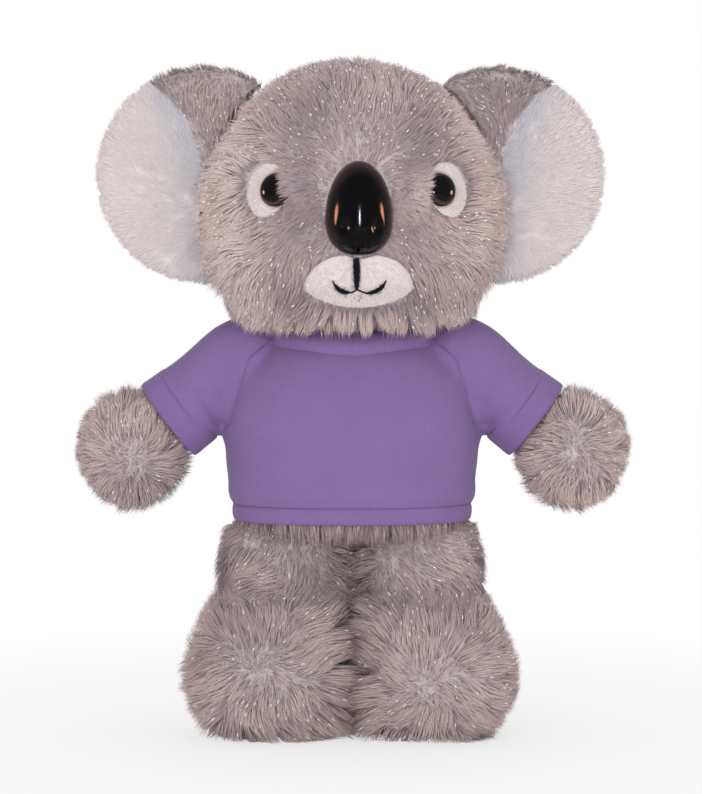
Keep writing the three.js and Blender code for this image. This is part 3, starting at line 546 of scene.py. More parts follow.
# Patches: short dense white plush, cut to shape and let into the grey round the eyes and over the muzzle.
# Each is sewn down along its edge, and the muzzle is padded a little by the stuffing behind it.
white_backing = backing_material("white_backing", colour(232, 224, 226), colour(244, 236, 236))
for name, node, density in (
    ("eye_patch_cover_left", "eye_patch_left", 7),
    ("eye_patch_cover_right", "eye_patch_right", 7),
    ("muzzle_cover", "muzzle_patch", 5),
):
    patch = solid_copy([node])
    rename(patch, name)
    patch.data.materials.clear()
    patch.data.materials.append(white_backing)
    apply_modifier(patch, "REMESH", mode="VOXEL", voxel_size=0.9 * mm, use_smooth_shade=True)
    apply_modifier(patch, "SMOOTH", factor=0.5, iterations=6)
    apply_modifier(patch, "DISPLACE", strength=-0.5 * mm, mid_level=0)
    edge = in_face(vertex_places(patch))
    if node == "muzzle_patch":
        middle = 205 * mm
        edge[:, 2] = middle + (edge[:, 2] - middle) * np.where(edge[:, 2] < middle, 0.83, 1.08)
        edge[:, 0] *= 1 - 0.2 * rise(-edge[:, 2], -204 * mm, -193 * mm)
    else:
        edge[:, 0] -= np.sign(edge[:, 0]) * 0.22 * np.maximum(np.abs(edge[:, 0]) - patch_x, 0)
    move_vertices(patch, from_face(edge) + np.array((0, body_axis_y, 0)))
    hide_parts(node)
    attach(patch, "head")
    places, normals = scatter(patch, density, 31)
    ahead = in_face(normals + np.array((0, body_axis_y, 0)))[:, 1] < 0.2
    places = places[ahead]
    normals = unit(normals[ahead] + 1.2 * from_face(np.array(((0.0, -1.0, 0.0),))))
    face = in_face(places)
    random = np.random.default_rng(32)
    tint = np.clip(0.8 + 0.08 * waves(places, 34, 9 * mm) + random.normal(0, 0.05, len(places)), 0, 1)
    hair = pile(
        name.replace("cover", "plush"), places, normals, head_flow(face), np.full(len(places), 1.6 * mm),
        (0.6, 1.1), tint, white_pile, 33, clump=0.12, tuft=12,
    )
    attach(hair, "head")

# Nose: a big egg of moulded black plastic on a ribbed shank, narrow at the top, with two nostrils and two
# grooves down to the lip. It is polished; the brown towards its thin edge is painted light, for the light
# that the edge lets through.
def on_head(piece):
    """Turns a piece that was made on the face's middle line on to the turned head."""
    piece.data.transform(Matrix.Translation((0, body_axis_y, 0)) @ Matrix.Rotation(face_turn, 4, "Z"))


nose_bottom = 215.96 * mm
nose_height = 41.4 * mm
nose_half_width = 14.7 * mm
nose_root_y = -56 * mm
nose_depth = 18 * mm
nose_widest = 0.39
select_only()
bpy.ops.mesh.primitive_uv_sphere_add(segments=144, ring_count=96, radius=1)
nose = bpy.context.object
rename(nose, "nose_moulding")
bpy.ops.object.shade_smooth()
ball = vertex_places(nose)
height = (1 + ball[:, 2]) / 2
low_half = height < nose_widest
off_widest = np.abs(height - nose_widest) / np.where(low_half, nose_widest, 1 - nose_widest)
full_side = np.maximum(1 - off_widest**2.4, 0) ** 0.4545
round_side = np.sqrt(np.maximum(1 - off_widest**2, 0))
wide = np.where(low_half, full_side, round_side)
deep = np.sqrt(np.maximum(1 - off_widest**3.2, 0))
ring = np.maximum(np.hypot(ball[:, 0], ball[:, 1]), 1e-6)
x = ball[:, 0] / ring * wide * nose_half_width
ahead = -ball[:, 1] / ring
y = nose_root_y - np.where(ahead > 0, ahead * deep * nose_depth, ahead * deep * 1.5 * mm)
z = nose_bottom + height * nose_height
nostril = hump((np.abs(x) - 6.7 * mm, 2.0 * mm), (z - 228.9 * mm, 2.9 * mm))
ridge_half = (2.5 + 0.5 * rise(z, 216 * mm, 229 * mm)) * mm
groove = hump((np.abs(x) - ridge_half, 0.45 * mm)) * (1 - rise(z, 224 * mm, 230 * mm))
lip = hump((z - 218.8 * mm, 0.6 * mm))
y += (ahead > 0) * (1.9 * nostril + 0.5 * groove + 0.22 * lip) * mm
move_vertices(nose, np.column_stack((x, y, z)))
give_values(nose.data, "edge", np.sqrt((x / nose_half_width) ** 2 + ((z - 234.5 * mm) / (21.5 * mm)) ** 2))
on_head(nose)
# The brown towards the edge is painted light, as though light came through the thin edge.
nose_black_and_painted_rim = ((0.78, colour(5, 4, 6)), (1.0, colour(46, 33, 33)))
nose.data.materials.append(banded_material("nose_black", "edge", nose_black_and_painted_rim, 0.13, 0.12))
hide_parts("nose")
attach(nose, "head")

# Eyes: domed plastic buttons, a dark brown ring round a wide black pupil. Each is moulded in one piece
# with the shank behind it and sits a little sunk in its patch.
eye_radius = 7.5 * mm
eye_dome = 4.6 * mm
eye_rim = 1.4 * mm
eye_shades = (
    (0.76, colour(8, 6, 8)), (0.81, colour(66, 42, 36)),
    (0.9, colour(88, 58, 50)), (0.96, colour(30, 22, 22)),
)
eye_gloss = banded_material("eye_gloss", "ring", eye_shades, 0.1, 0.2)
for label in ("left", "right"):
    shank = np.unique(np.round(vertex_places(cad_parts["eye_" + label]), 6), axis=0)
    middle = shank.mean(0)
    look = np.linalg.svd(shank - middle)[2][0]
    look = look * -np.sign(look[1])
    crown = middle + look * ((shank - middle) @ look).max()
    select_only()
    bpy.ops.mesh.primitive_uv_sphere_add(segments=64, ring_count=48, radius=1)
    eye = bpy.context.object
    rename(eye, "eye_dome_" + label)
    bpy.ops.object.shade_smooth()
    ball = vertex_places(eye)
    give_values(eye.data, "ring", np.hypot(ball[:, 0], ball[:, 1]))
    ball[:, :2] *= eye_radius
    ball[:, 2] *= np.where(ball[:, 2] > 0, eye_dome, eye_rim)
    ball[:, 2] -= eye_dome
    move_vertices(eye, ball)
    turn = Vector(look).to_track_quat("Z", "Y").to_matrix().to_4x4()
    eye.data.transform(Matrix.Translation(Vector(crown)) @ turn)
    eye.data.materials.append(eye_gloss)
    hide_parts("eye_" + label)
    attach(eye, "head")

# Lock washers: toothed discs of pale moulded nylon, a little mottled. Behind the skin they grip the
# shanks that hold the nose and eyes on.
washer_nylon = backing_material("washer_nylon", colour(206, 202, 192), colour(224, 221, 212))
for name in ("nose_washer", "eye_washer_left", "eye_washer_right"):
    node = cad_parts[name]
    node.data.materials.clear()
    node.data.materials.append(washer_nylon)

# Mouth: black embroidery thread, laid in satin stitches down the middle and in a thin curve to each side.
# Its fuzzy ends stand up where the stitches are thickest.
mouth_thread, tree, shader = start_material("mouth_thread")
place = add_node(tree, "TexCoord")
twist = add_node(tree, "TexNoise", Scale=1400)
shades = add_ramp(tree, (0, colour(7, 6, 12)), (1, colour(22, 20, 34)))
wire(
    tree, (place, "Object", twist, "Vector"), (twist, "Fac", shades, "Fac"),
    (shades, "Color", shader, "Base Color"),
)
set_values(shader, Roughness=0.6, Specular_IOR_Level=0.15)
muzzle = bpy.data.objects["muzzle_cover"]
muzzle_faces = [polygon.vertices for polygon in muzzle.data.polygons]
muzzle_tree = BVHTree.FromPolygons([vertex.co for vertex in muzzle.data.vertices], muzzle_faces)


def on_muzzle_plush(x, z):
    """The place on the muzzle's plush, in world terms, behind a place seen from the front."""
    ahead = Vector((x, -0.2, z))
    hit = muzzle_tree.ray_cast(ahead, Vector((0, 1, 0)))[0] or muzzle_tree.find_nearest(ahead)[0]
    return np.array((x, hit.y - 1.3 * mm, z))


stitches = (
    ("upright", (
        (1.7, 215.2, 1.3), (1.9, 211.5, 1.5), (2.0, 208, 1.45), (1.95, 204.6, 1.1), (1.9, 201.6, 0.5),
    )),
    ("smile_right", (
        (2.0, 201.9, 0.4), (0.3, 200.5, 0.35), (-1.7, 200.3, 0.4), (-2.8, 200.4, 0.85), (-4.7, 201, 1),
        (-6.5, 202.3, 0.9), (-7.8, 204.1, 0.4), (-8.5, 205.6, 0.3),
    )),
    ("smile_left", (
        (1.9, 201.9, 0.4), (4.2, 200.8, 0.35), (6.4, 200, 0.4), (8.1, 200.3, 0.85), (10.5, 201.1, 1),
        (12.9, 202.6, 0.9), (14.1, 204.5, 0.4), (14.7, 205.6, 0.3),
    )),
)
fuzz = []
for name, course in stitches:
    course = np.array(course) * mm
    steps = np.linspace(0, len(course) - 1, 60)
    line = np.column_stack([np.interp(steps, range(len(course)), course[:, k]) for k in range(3)])
    for _ in range(6):
        line[1:-1] = (line[:-2] + 2 * line[1:-1] + line[2:]) / 4
    curve = bpy.data.curves.new("mouth_" + name, "CURVE")
    curve.dimensions = "3D"
    curve.bevel_depth = 1
    curve.bevel_resolution = 3
    curve.use_fill_caps = True
    spline = curve.splines.new("POLY")
    spline.points.add(len(line) - 1)
    for i, (x, z, radius) in enumerate(line):
        spline.points[i].co = (*on_muzzle_plush(x, z), 1)
        spline.points[i].radius = radius * (1 + 0.2 * math.sin(i * 1.45))
        if radius > 0.8 * mm:
            fuzz.append(on_muzzle_plush(x, z))
    thread = placed("mouth_" + name, curve)
    select_only(thread)
    bpy.ops.object.convert(target="MESH")
    bpy.ops.object.shade_smooth()
    thread.data.materials.append(mouth_thread)
    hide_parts("mouth_stitching")
    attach(thread, "head")
random = np.random.default_rng(70)
fuzz_count = 420
roots = np.array(fuzz)[random.integers(0, len(fuzz), fuzz_count)]
roots += random.normal(0, 0.6 * mm, (fuzz_count, 3)) * (1, 0.2, 1)
loose_ends = zip(random.uniform(-1, 6, 14) * mm, random.uniform(196, 200, 14) * mm)
stray = np.array([on_muzzle_plush(x, z) for x, z in loose_ends])
stray[:, 1] -= 0.7 * mm
roots = np.concatenate((roots, stray))
out = np.tile((0.0, -1.0, 0.0), (len(roots), 1))
thread_hair = pile(
    "mouth_fuzz", roots, out, random.normal(0, 1, (len(roots), 3)), np.full(len(roots), 2 * mm), (0.7, 1.2),
    np.full(len(roots), 0.5), mouth_thread, 71, width=0.09 * mm, clump=0,
)
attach(thread_hair, "head")

# Ears: round flat cushions. The grey plush of the back folds over the rim and the upper inner corner of
# the front, and the rest of the front is white plush.
ear_radius = 50 * mm
ear_middle_x = 66 * mm
ear_height = 251 * mm
ear_edge = np.array((
    (0.62, 0.9), (0.34, 0.7), (0.16, 0.52), (0.07, 0.3), (0, 0.05), (-0.1, -0.4), (-0.16, -1.1),
))


def ear_parts(places, normals, side):
    """How far out from the middle of the ear, how far past the edge of the panel, and if in the panel."""
    face = in_face(places)
    out = (side * face[:, 0] - ear_middle_x) / ear_radius
    up = (face[:, 2] - ear_height) / ear_radius
    past = out - np.interp(up, ear_edge[::-1, 1], ear_edge[::-1, 0]) + 0.03 * waves(places, 47, 11 * mm)
    turned = in_face(normals + np.array((0, body_axis_y, 0)))
    facing = turned[:, 1]
    front = (facing < 0.35) | ((side * turned[:, 0] < -0.4) & (facing < 0.85))
    return face, out, past, front & (past > 0), facing


for side, label in ((1, "left"), (-1, "right")):
    halves = ["ear_back_" + label, "ear_front_" + label]
    ear = stuffed_skin("ear_cover_" + label, halves, 2 * mm, grain=1.8 * mm)
    ear.data.materials.append(grey_backing)
    ear.data.materials.append(white_backing)
    in_panel = ear_parts(read(ear.data.polygons, "center"), read(ear.data.polygons, "normal"), side)[3]
    ear.data.polygons.foreach_set("material_index", in_panel.astype(int))
    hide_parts("ear_back_" + label, "ear_front_" + label)
    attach(ear, "head")
    places, normals = scatter(ear, 2.3, 41)
    face, out, past, white, facing = ear_parts(places, normals, side)
    root = np.array((side * 56 * mm, 0, 236 * mm))
    flow = from_face(unit(face - root))
    random = np.random.default_rng(42)
    rim = 1 - np.abs(facing)
    grey = ~white & (random.random(len(places)) < 0.52 + 0.42 * rim)
    tint = 0.5 + 0.13 * waves(places, 43, 24 * mm) + random.normal(0, 0.07, len(places))
    # Painted shade on the front: darker along the edge of the white panel, and darker all over on the left
    # ear.
    tint -= (0.25 * hump((past, 0.1)) + (0.16 if side > 0 else 0)) * (facing < 0)
    beside_panel = past > -0.05
    from_middle = np.hypot(out, (face[:, 2] - ear_height) / ear_radius)
    near_rim = rise(from_middle, 0.78, 0.95)
    # Painted light on the rim hairs, which face away from the lamps.
    tint += 0.3 * near_rim * (facing > -0.5) * ~beside_panel
    amount = np.where(beside_panel, 4.5 - rim, 9 - 3.5 * near_rim * (facing > -0.5)) * mm
    behind = flow + np.array((0, 1.6, 0)) * (rim * beside_panel)[:, None]
    fold = np.array((side * 67, 0, 250)) * mm
    over = rise(-facing, -0.3, 0.3)[:, None] * (~beside_panel)[:, None]
    behind = behind * (1 - over) + from_face(unit(fold - face)) * over
    hair = pile(
        "ear_pile_" + label, places[grey], normals[grey], behind[grey], amount[grey], (0.8, 1.4), tint[grey],
        grey_pile, 44, clump=0.6, tinsel=0.025,
    )
    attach(hair, "head")
    # Painted shade: the white plush is darker and bluer towards the grey edge and towards the head.
    tint = 0.6 + 0.25 * rise(out, 0.1, 0.9) - 0.4 * (1 - rise(past, 0.0, 0.45))
    tint += random.normal(0, 0.05, len(places))
    tint += 0.08 * waves(places, 46, 12 * mm)
    swept = flow + np.array((0, 1.4, 0)) * rim[:, None]
    hair = pile(
        "ear_plush_" + label, places[white], normals[white], swept[white], (5 - 1.5 * rim[white]) * mm,
        (0.8, 1.4), tint[white], white_pile, 45, width=0.2 * mm, clump=0.4, tuft=60, swirl=0.12,
    )
    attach(hair, "head")

# Paws: round mitts of long pile at the ends of the arms, whose hair stands out all round from a whorl
# in front and another behind.
arm_drop = math.radians(37.5)
for side, label in ((1, "left"), (-1, "right")):
    arm = stuffed_skin("arm_cover_" + label, ["arm_skin_" + label, "arm_stuffing_" + label], 5 * mm)
    arm.data.materials.append(grey_backing)
    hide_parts("arm_skin_" + label, "arm_stuffing_" + label)
    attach(arm, "arm_" + label)
    shoulder = np.array((side * 58, 9, 160)) * mm
    axis = np.array((side * math.cos(arm_drop), 0, -math.sin(arm_drop)))
    middle = shoulder + axis * 52 * mm
    places, normals = scatter(arm, 1.2, 51)
    beyond = (places - shoulder) @ axis
    kept = beyond > 28 * mm
    places, normals, beyond = places[kept], normals[kept], beyond[kept]
    ahead = np.where(places[:, 1] < body_axis_y, -1.0, 1.0)
    whorl = middle + np.column_stack((0 * ahead, ahead * 24 * mm, 0 * ahead - 4 * mm)) - axis * 2 * mm
    random = np.random.default_rng(52)
    spread = places - whorl
    crown = hump((np.linalg.norm(spread, axis=1), 9 * mm))[:, None]
    near_cuff = 1 - rise(beyond, 30 * mm, 40 * mm)
    flow = unit(spread) + axis * near_cuff[:, None] * 2
    flow = flow + crown * random.normal(0, 0.9, flow.shape)
    out = np.maximum(side * normals[:, 0], 0)
    less_outside = (2.5 if side > 0 else 4) * out
    length = (6 + 5.5 * rise(beyond, 30 * mm, 40 * mm) + 2 * np.abs(normals[:, 2]) - less_outside) * mm
    random = np.random.default_rng(52)
    tint = 0.51 + 0.15 * waves(places, 53, 22 * mm) + random.normal(0, 0.08, len(places))
    # Painted shade under the cuff: the hair is darker near it.
    tint -= 0.25 * (1 - rise(beyond, 31 * mm, 42 * mm))
    hair = pile(
        "paw_pile_" + label, places, normals, flow, length, (0.75, 1.3), tint, grey_pile, 54,
        clump=0.6, tuft=60, swirl=0.75, tinsel=0.025,
    )
    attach(hair, "arm_" + label)

# Legs: short stuffed thighs over big round feet, with a sewn crease between them. The hair of each foot
# spreads from a whorl on its front. The thighs, the crease and the middle line between the legs are
# painted darker as painted shade.
crease_height = 62 * mm
for side, label, whorl_x, whorl_z in ((1, "left", 33.5, 26), (-1, "right", -43, 37)):
    leg = stuffed_skin("leg_cover_" + label, ["leg_skin_" + label, "leg_stuffing_" + label], 4.5 * mm)
    leg.data.materials.append(grey_backing)
    skin = vertex_places(leg)
    skin[:, 2] += 4 * mm * rise(skin[:, 2], 70 * mm, 91 * mm)
    move_vertices(leg, skin)
    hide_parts("leg_skin_" + label, "leg_stuffing_" + label)
    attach(leg, "leg_" + label)
    places, normals = scatter(leg, 1.05, 61)
    random = np.random.default_rng(62)
    kept = (places[:, 2] < 94.5 * mm) & ((places[:, 1] < 5 * mm) | (random.random(len(places)) < 0.8))
    places, normals = places[kept], normals[kept]
    foot = 1 - rise(places[:, 2], 56 * mm, 66 * mm)[:, None]
    spread = places - np.array((whorl_x, -38, whorl_z)) * mm
    crown = hump((np.linalg.norm(spread, axis=1), 10 * mm))[:, None]
    thigh = np.array((side * 0.9, 0, -0.8))
    flow = unit(spread) * foot + thigh * (1 - foot)
    flow = flow + crown * random.normal(0, 0.9, flow.shape)
    thigh_top = rise(places[:, 2], 84 * mm, 94 * mm)
    length = (12.5 - 4.5 * thigh_top) * mm
    inner = rise(-side * normals[:, 0], 0.25, 0.75)
    outer = rise(side * normals[:, 0], 0.25, 0.75) * (side > 0)
    length += (2.5 * inner - 3 * outer) * mm
    lean = (0.7 + 0.3 * thigh_top - 0.55 * inner, 1.2 + 0.2 * thigh_top - 0.75 * inner)
    # Painted shade: thighs darker than feet, and darker still at the crease and between the legs.
    tint = 0.33 + 0.15 * foot[:, 0] + 0.15 * waves(places, 63, 26 * mm) + random.normal(0, 0.08, len(places))
    crease_shade = hump((places[:, 2] - crease_height, 5 * mm)) + hump((places[:, 0], 8 * mm))
    tint -= 0.3 * crease_shade
    for name, part in (("front", places[:, 1] < 0), ("back", places[:, 1] >= 0)):
        hair = pile(
            "leg_pile_" + label + "_" + name, places[part], normals[part], flow[part], length[part],
            (lean[0][part], lean[1][part]), tint[part], grey_pile, 64,
            clump=0.6, tuft=60, swirl=0.75, tinsel=0.025,
        )
        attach(hair, "leg_" + label)

# T-shirt: purple cotton jersey with raglan sleeves. Front and back are cut in one piece each, sewn to the
# sleeves along slanting seams, and finished with a doubled hem, cuffs and a ribbed neck.
jersey_dark = colour(121, 97, 149)
jersey_pale = colour(147, 121, 177)


def jersey_material(name, pitch, rib):
    """Knit: fine columns of stitches along the cloth's own map, with a soft mottle of two close shades."""
    material, tree, shader = start_material(name)
    cloth = add_node(tree, "UVMap", uv_map="cloth")
    columns = add_node(tree, "TexWave", Scale=2 * math.pi / (20 * pitch), Distortion=1.2, Detail=2)
    place = add_node(tree, "TexCoord")
    mottle = add_node(tree, "TexNoise", Scale=60, Detail=6, Roughness=0.65)
    share = add_node(tree, "Math", operation="MULTIPLY_ADD")
    share.inputs[1].default_value = 0.35
    share.inputs[2].default_value = 0.25
    both = add_node(tree, "Math", operation="MULTIPLY_ADD", use_clamp=True)
    both.inputs[1].default_value = 0.14
    shades = add_ramp(tree, (0.1, jersey_dark), (0.9, jersey_pale))
    bump = add_node(tree, "Bump", Strength=rib, Distance=0.3 * mm)
    wire(
        tree, (cloth, "UV", columns, "Vector"), (place, "Object", mottle, "Vector"),
        (mottle, "Fac", share, 0), (columns, "Fac", both, 0), (share, 0, both, 2), (both, 0, shades, "Fac"),
        (columns, "Fac", bump, "Height"), (shades, "Color", shader, "Base Color"),
        (bump, "Normal", shader, "Normal"),
    )
    set_values(shader, Roughness=0.9, Specular_IOR_Level=0.2, Sheen_Weight=0.15)
    return material


jersey = jersey_material("jersey", 1.05 * mm, rib=0.25)
rib_knit = jersey_material("rib_knit", 1.3 * mm, rib=0.3)


def tube(name, rings, sides, squareness=2.0):
    """A capped tube about Z, drawn up ring by ring; each ring is its height, half width and half depth."""
    select_only()
    bpy.ops.mesh.primitive_circle_add(vertices=sides, radius=1, fill_type="NGON")
    piece = bpy.context.object
    rename(piece, name)
    corner = vertex_places(piece)
    move_vertices(piece, np.sign(corner) * np.abs(corner) ** (2 / squareness))
    bpy.ops.object.mode_set(mode="EDIT")
    bpy.ops.mesh.select_all(action="SELECT")
    height, wide, deep = rings[0]
    bpy.ops.transform.resize(value=(wide, deep, 1), center_override=(0, 0, 0))
    bpy.ops.transform.translate(value=(0, 0, height))
    for last, ring in zip(rings, rings[1:]):
        bpy.ops.mesh.extrude_region_move(TRANSFORM_OT_translate={"value": (0, 0, ring[0] - last[0])})
        grow = (ring[1] / last[1], ring[2] / last[2], 1)
        bpy.ops.transform.resize(value=grow, center_override=(0, 0, ring[0]))
    bpy.ops.mesh.select_all(action="SELECT")
    bpy.ops.mesh.normals_make_consistent(inside=False)
    bpy.ops.object.mode_set(mode="OBJECT")
    bpy.ops.object.shade_smooth()
    return piece


def keep_faces(piece, wanted):
    """Deletes all faces but those wanted, and whatever edges and corners they leave loose."""
    select_only(piece)
    bpy.ops.object.mode_set(mode="EDIT")
    bpy.ops.mesh.select_mode(type="FACE")
    bpy.ops.mesh.select_all(action="DESELECT")
    bpy.ops.object.mode_set(mode="OBJECT")
    piece.data.polygons.foreach_set("select", ~wanted)
    bpy.ops.object.mode_set(mode="EDIT")
    bpy.ops.mesh.delete(type="FACE")
    bpy.ops.object.mode_set(mode="OBJECT")


def drop_caps(piece):
    """Opens a tube at both ends."""
    keep_faces(piece, np.array([len(polygon.vertices) < 5 for polygon in piece.data.polygons]))


def give_cloth_map(piece, around, along):
    """Lays the cloth's own map, in metres, from a value for each vertex."""
    corners = read(piece.data.loops, "vertex_index", 1, int)[:, 0]
    flat = np.column_stack((around, along))[corners]
    piece.data.uv_layers.new(name="cloth").uv.foreach_set("vector", flat.ravel())


hem_height = 97 * mm
neckline = 177 * mm
chest_half = (57.5 * mm, 42 * mm)
shirt_shape = np.array((
    (0, 0.925, 0.9), (0.1, 0.94, 0.92), (0.32, 0.985, 0.975), (0.51, 1, 1),
    (0.66, 0.965, 0.98), (0.8, 0.89, 0.93), (0.92, 0.77, 0.84), (1, 0.64, 0.755),
))
shoulder = np.array((58, 9, 160)) * mm
sleeve_drop = math.radians(36)
sleeve_half = 17.3
share_up = np.linspace(-0.25, 1, 34)
wide, deep = (np.interp(share_up, shirt_shape[:, 0], shirt_shape[:, k]) * chest_half[k - 1] for k in (1, 2))
rings = list(zip(hem_height + share_up * (neckline - hem_height), wide, deep))
shirt = tube("shirt", rings, 96, squareness=2.4)
corner = vertex_places(shirt)
rise_share = np.clip((corner[:, 2] - hem_height) / (neckline - hem_height), 0, 1)
corner[:, 2] += 0.11 * corner[:, 1] * rise_share**2
corner[:, 1] += body_axis_y
move_vertices(shirt, corner)
parts = [shirt]
for side in (1, -1):
    down = Vector((side * math.cos(sleeve_drop), 0, -math.sin(sleeve_drop)))
    arm_joint = Vector((side * shoulder[0], shoulder[1], shoulder[2]))
    sleeve_end = arm_joint + down * 35 * mm
    sleeve_top = arm_joint - down * 16 * mm
    sleeve_root = Vector((side * 20 * mm, 9 * mm, 167 * mm))
    for start, end, radius_start, radius_end in (
        (sleeve_top, sleeve_end, sleeve_half, 19.4), (sleeve_root, sleeve_top, 9, sleeve_half),
    ):
        select_only()
        bpy.ops.mesh.primitive_cone_add(
            vertices=64, radius1=radius_start * mm, radius2=radius_end * mm, depth=(end - start).length,
            location=(start + end) / 2, rotation=(end - start).to_track_quat("Z", "Y").to_euler(),
        )
        bpy.ops.object.transform_apply(location=True, rotation=True, scale=True)
        parts.append(bpy.context.object)
        grown = vertex_places(parts[-1])
        grown[:, 1] = body_axis_y + (grown[:, 1] - body_axis_y) * 1.1
        move_vertices(parts[-1], grown)
    select_only()
    bpy.ops.mesh.primitive_uv_sphere_add(
        segments=48, ring_count=24, radius=sleeve_half * mm, location=sleeve_top
    )
    bpy.ops.object.transform_apply(location=True, rotation=True, scale=True)
    parts.append(bpy.context.object)
select_only(*parts)
bpy.ops.object.join()
apply_modifier(shirt, "REMESH", mode="VOXEL", voxel_size=2 * mm, use_smooth_shade=True)
apply_modifier(shirt, "SMOOTH", factor=0.5, iterations=7)
apply_modifier(shirt, "SUBSURF", levels=1, render_levels=1)

# The cuts: neck hole, hem line, sleeve ends, raglan seams and side seams. The neck hole is an oval, and
# its half width and half depth are in millimetres.
neck_wide = 38
neck_deep = 31.3
hem_cut = 104.5 * mm
sleeve_cut = 21 * mm
neck_hole = tube("neck_hole", [(h * mm, neck_wide * mm, neck_deep * mm) for h in (158, 215)], 96)
neck_hole.data.transform(Matrix.Translation((0, body_axis_y, 0)))
apply_modifier(shirt, "BOOLEAN", object=neck_hole, operation="DIFFERENCE", solver="EXACT")
bpy.data.objects.remove(neck_hole)
select_only(shirt)
bpy.ops.object.mode_set(mode="EDIT")
bpy.ops.mesh.select_all(action="SELECT")
bpy.ops.mesh.bisect(plane_co=(0, 0, hem_cut), plane_no=(0, 0, 1), clear_inner=True)
bpy.ops.mesh.select_all(action="SELECT")
bpy.ops.mesh.bisect(plane_co=(0, body_axis_y, 0), plane_no=(0, 1, 0))
for side in (1, -1):
    down = (side * math.cos(sleeve_drop), 0, -math.sin(sleeve_drop))
    end = (side * shoulder[0] + down[0] * sleeve_cut, shoulder[1], shoulder[2] + down[2] * sleeve_cut)
    bpy.ops.mesh.select_all(action="DESELECT")
    bpy.ops.object.mode_set(mode="OBJECT")
    for polygon in shirt.data.polygons:
        polygon.select = side * polygon.center.x > 60.5 * mm
    bpy.ops.object.mode_set(mode="EDIT")
    bpy.ops.mesh.bisect(plane_co=end, plane_no=down, clear_outer=True)
bpy.ops.object.mode_set(mode="OBJECT")
seam_line = np.array((
    (90, 72), (137, 57.8), (140.4, 54.9), (153, 51.3), (170, 45.7), (178.2, 36), (195, 26),
)) * mm


def seam_x(z):
    return np.interp(z, seam_line[:, 0], seam_line[:, 1])


for side in (1, -1):
    places = vertex_places(shirt)
    places[:, 0] -= side * seam_x(places[:, 2])
    move_vertices(shirt, places)
    edit_all(bpy.ops.mesh.bisect, plane_co=(0, 0, 0), plane_no=(1, 0, 0))
    places = vertex_places(shirt)
    places[:, 0] += side * seam_x(places[:, 2])
    move_vertices(shirt, places)

# The fall of the cloth: seams draw it in, the body blouses over the hem, and folds run from the armpits.
# Each fold goes from a first x and z to a second, with its depth, its width and the side that shows it.
places = vertex_places(shirt)
normals = read(shirt.data.vertices, "normal")
across = np.abs(places[:, 0])
off_seam = np.abs(across - seam_x(places[:, 2]))
off_side = np.where(across < seam_x(places[:, 2]), np.abs(places[:, 1] - body_axis_y), 1)
push = -0.55 * hump((off_seam, 1.0 * mm)) - 0.4 * hump((off_side, 1.0 * mm))
push += 0.35 * hump((off_seam, 3.5 * mm))
push += 0.9 * hump((places[:, 2] - 109 * mm, 4.5 * mm)) - 0.5 * hump((places[:, 2] - hem_cut, 1.2 * mm))
push += 0.35 * waves(places, 80, 34 * mm)
push += 3.2 * hump((across - 60 * mm, 13 * mm)) * rise(normals[:, 2], 0.1, 0.8)
folds = (
    (-69, 157, -58.3, 139, 2.2, 2.0, -1), (-62, 174, -57, 152, 0.9, 3.0, -1),
    (-50, 176, -54.5, 158, 0.6, 2.4, -1), (71, 153, 59.5, 139, 1.6, 2.4, -1),
    (63, 172, 58, 150, 0.7, 3.2, -1), (49, 156, 57, 136, 0.9, 1.8, -1),
    (66, 158, 58.5, 140, 1.4, 2.4, 1), (-66, 158, -58.5, 140, 1.4, 2.4, 1),
    (46, 150, 55, 128, 0.8, 3, 1), (-46, 150, -55, 128, 0.8, 3, 1),
    (-50, 131, -20, 119, 0.3, 4, -1), (52, 122, 18, 112, 0.35, 4, -1),
)
for x0, z0, x1, z1, depth, width, face_side in folds:
    start = np.array((x0, z0)) * mm
    reach = np.array((x1, z1)) * mm - start
    seen = places[:, (0, 2)] - start
    along = np.clip(seen @ reach / (reach @ reach), 0, 1)
    off = np.linalg.norm(seen - along[:, None] * reach, axis=1)
    facing = rise(face_side * normals[:, 1], -0.25, 0.35)
    push -= depth * hump((off, width * mm)) * (0.35 + 0.65 * along) * facing
move_vertices(shirt, places + normals * push[:, None] * mm)

# Neck rib: a doubled band of ribbed knit, sewn to the edge of the neck hole. It rolls out a little and
# draws in towards the neck.
def shirt_copy(name):
    piece = shirt.copy()
    piece.data = shirt.data.copy()
    rename(piece, name)
    bpy.context.scene.collection.objects.link(piece)
    return piece


def off_neck(places):
    return np.hypot(places[:, 0] / (neck_wide * mm), (places[:, 1] - body_axis_y) / (neck_deep * mm))


select_only()
neck_edge = shirt_copy("shirt_neck_rib")
middles = read(neck_edge.data.polygons, "center")
keep_faces(neck_edge, (off_neck(middles) < 1.02) & (off_neck(middles) > 0.985))
middles = read(shirt.data.polygons, "center")
facings = read(shirt.data.polygons, "normal")
to_axis = -(facings * unit((middles - (0, body_axis_y, 0)) * (1, 1, 0))).sum(1)
hole_side = (off_neck(middles) < 1.0005) | ((off_neck(middles) < 1.05) & (to_axis > 0.8))
keep_faces(shirt, ~(hole_side & (middles[:, 2] > 156 * mm)))
edge = vertex_places(neck_edge)
angle = np.arctan2((edge[:, 1] - body_axis_y) / neck_deep, edge[:, 0] / neck_wide)
bins = np.linspace(-math.pi, math.pi, 97)[:-1]
top = np.array([edge[np.abs(np.angle(np.exp(1j * (angle - a)))) < 0.06, 2].max() for a in bins])
for _ in range(14):
    top = (np.roll(top, 1) + 2 * top + np.roll(top, -1)) / 4
bpy.data.objects.remove(neck_edge)
collar_rings = (
    (-4, 0.9), (-2, 0.9), (-0.6, 0.8), (0.6, 0.9), (3.0, 0.9), (5.2, -0.3), (7.2, -2.4), (8.4, -4.6),
    (8.8, -6.4), (8.2, -7.2), (6.4, -7.0),
)
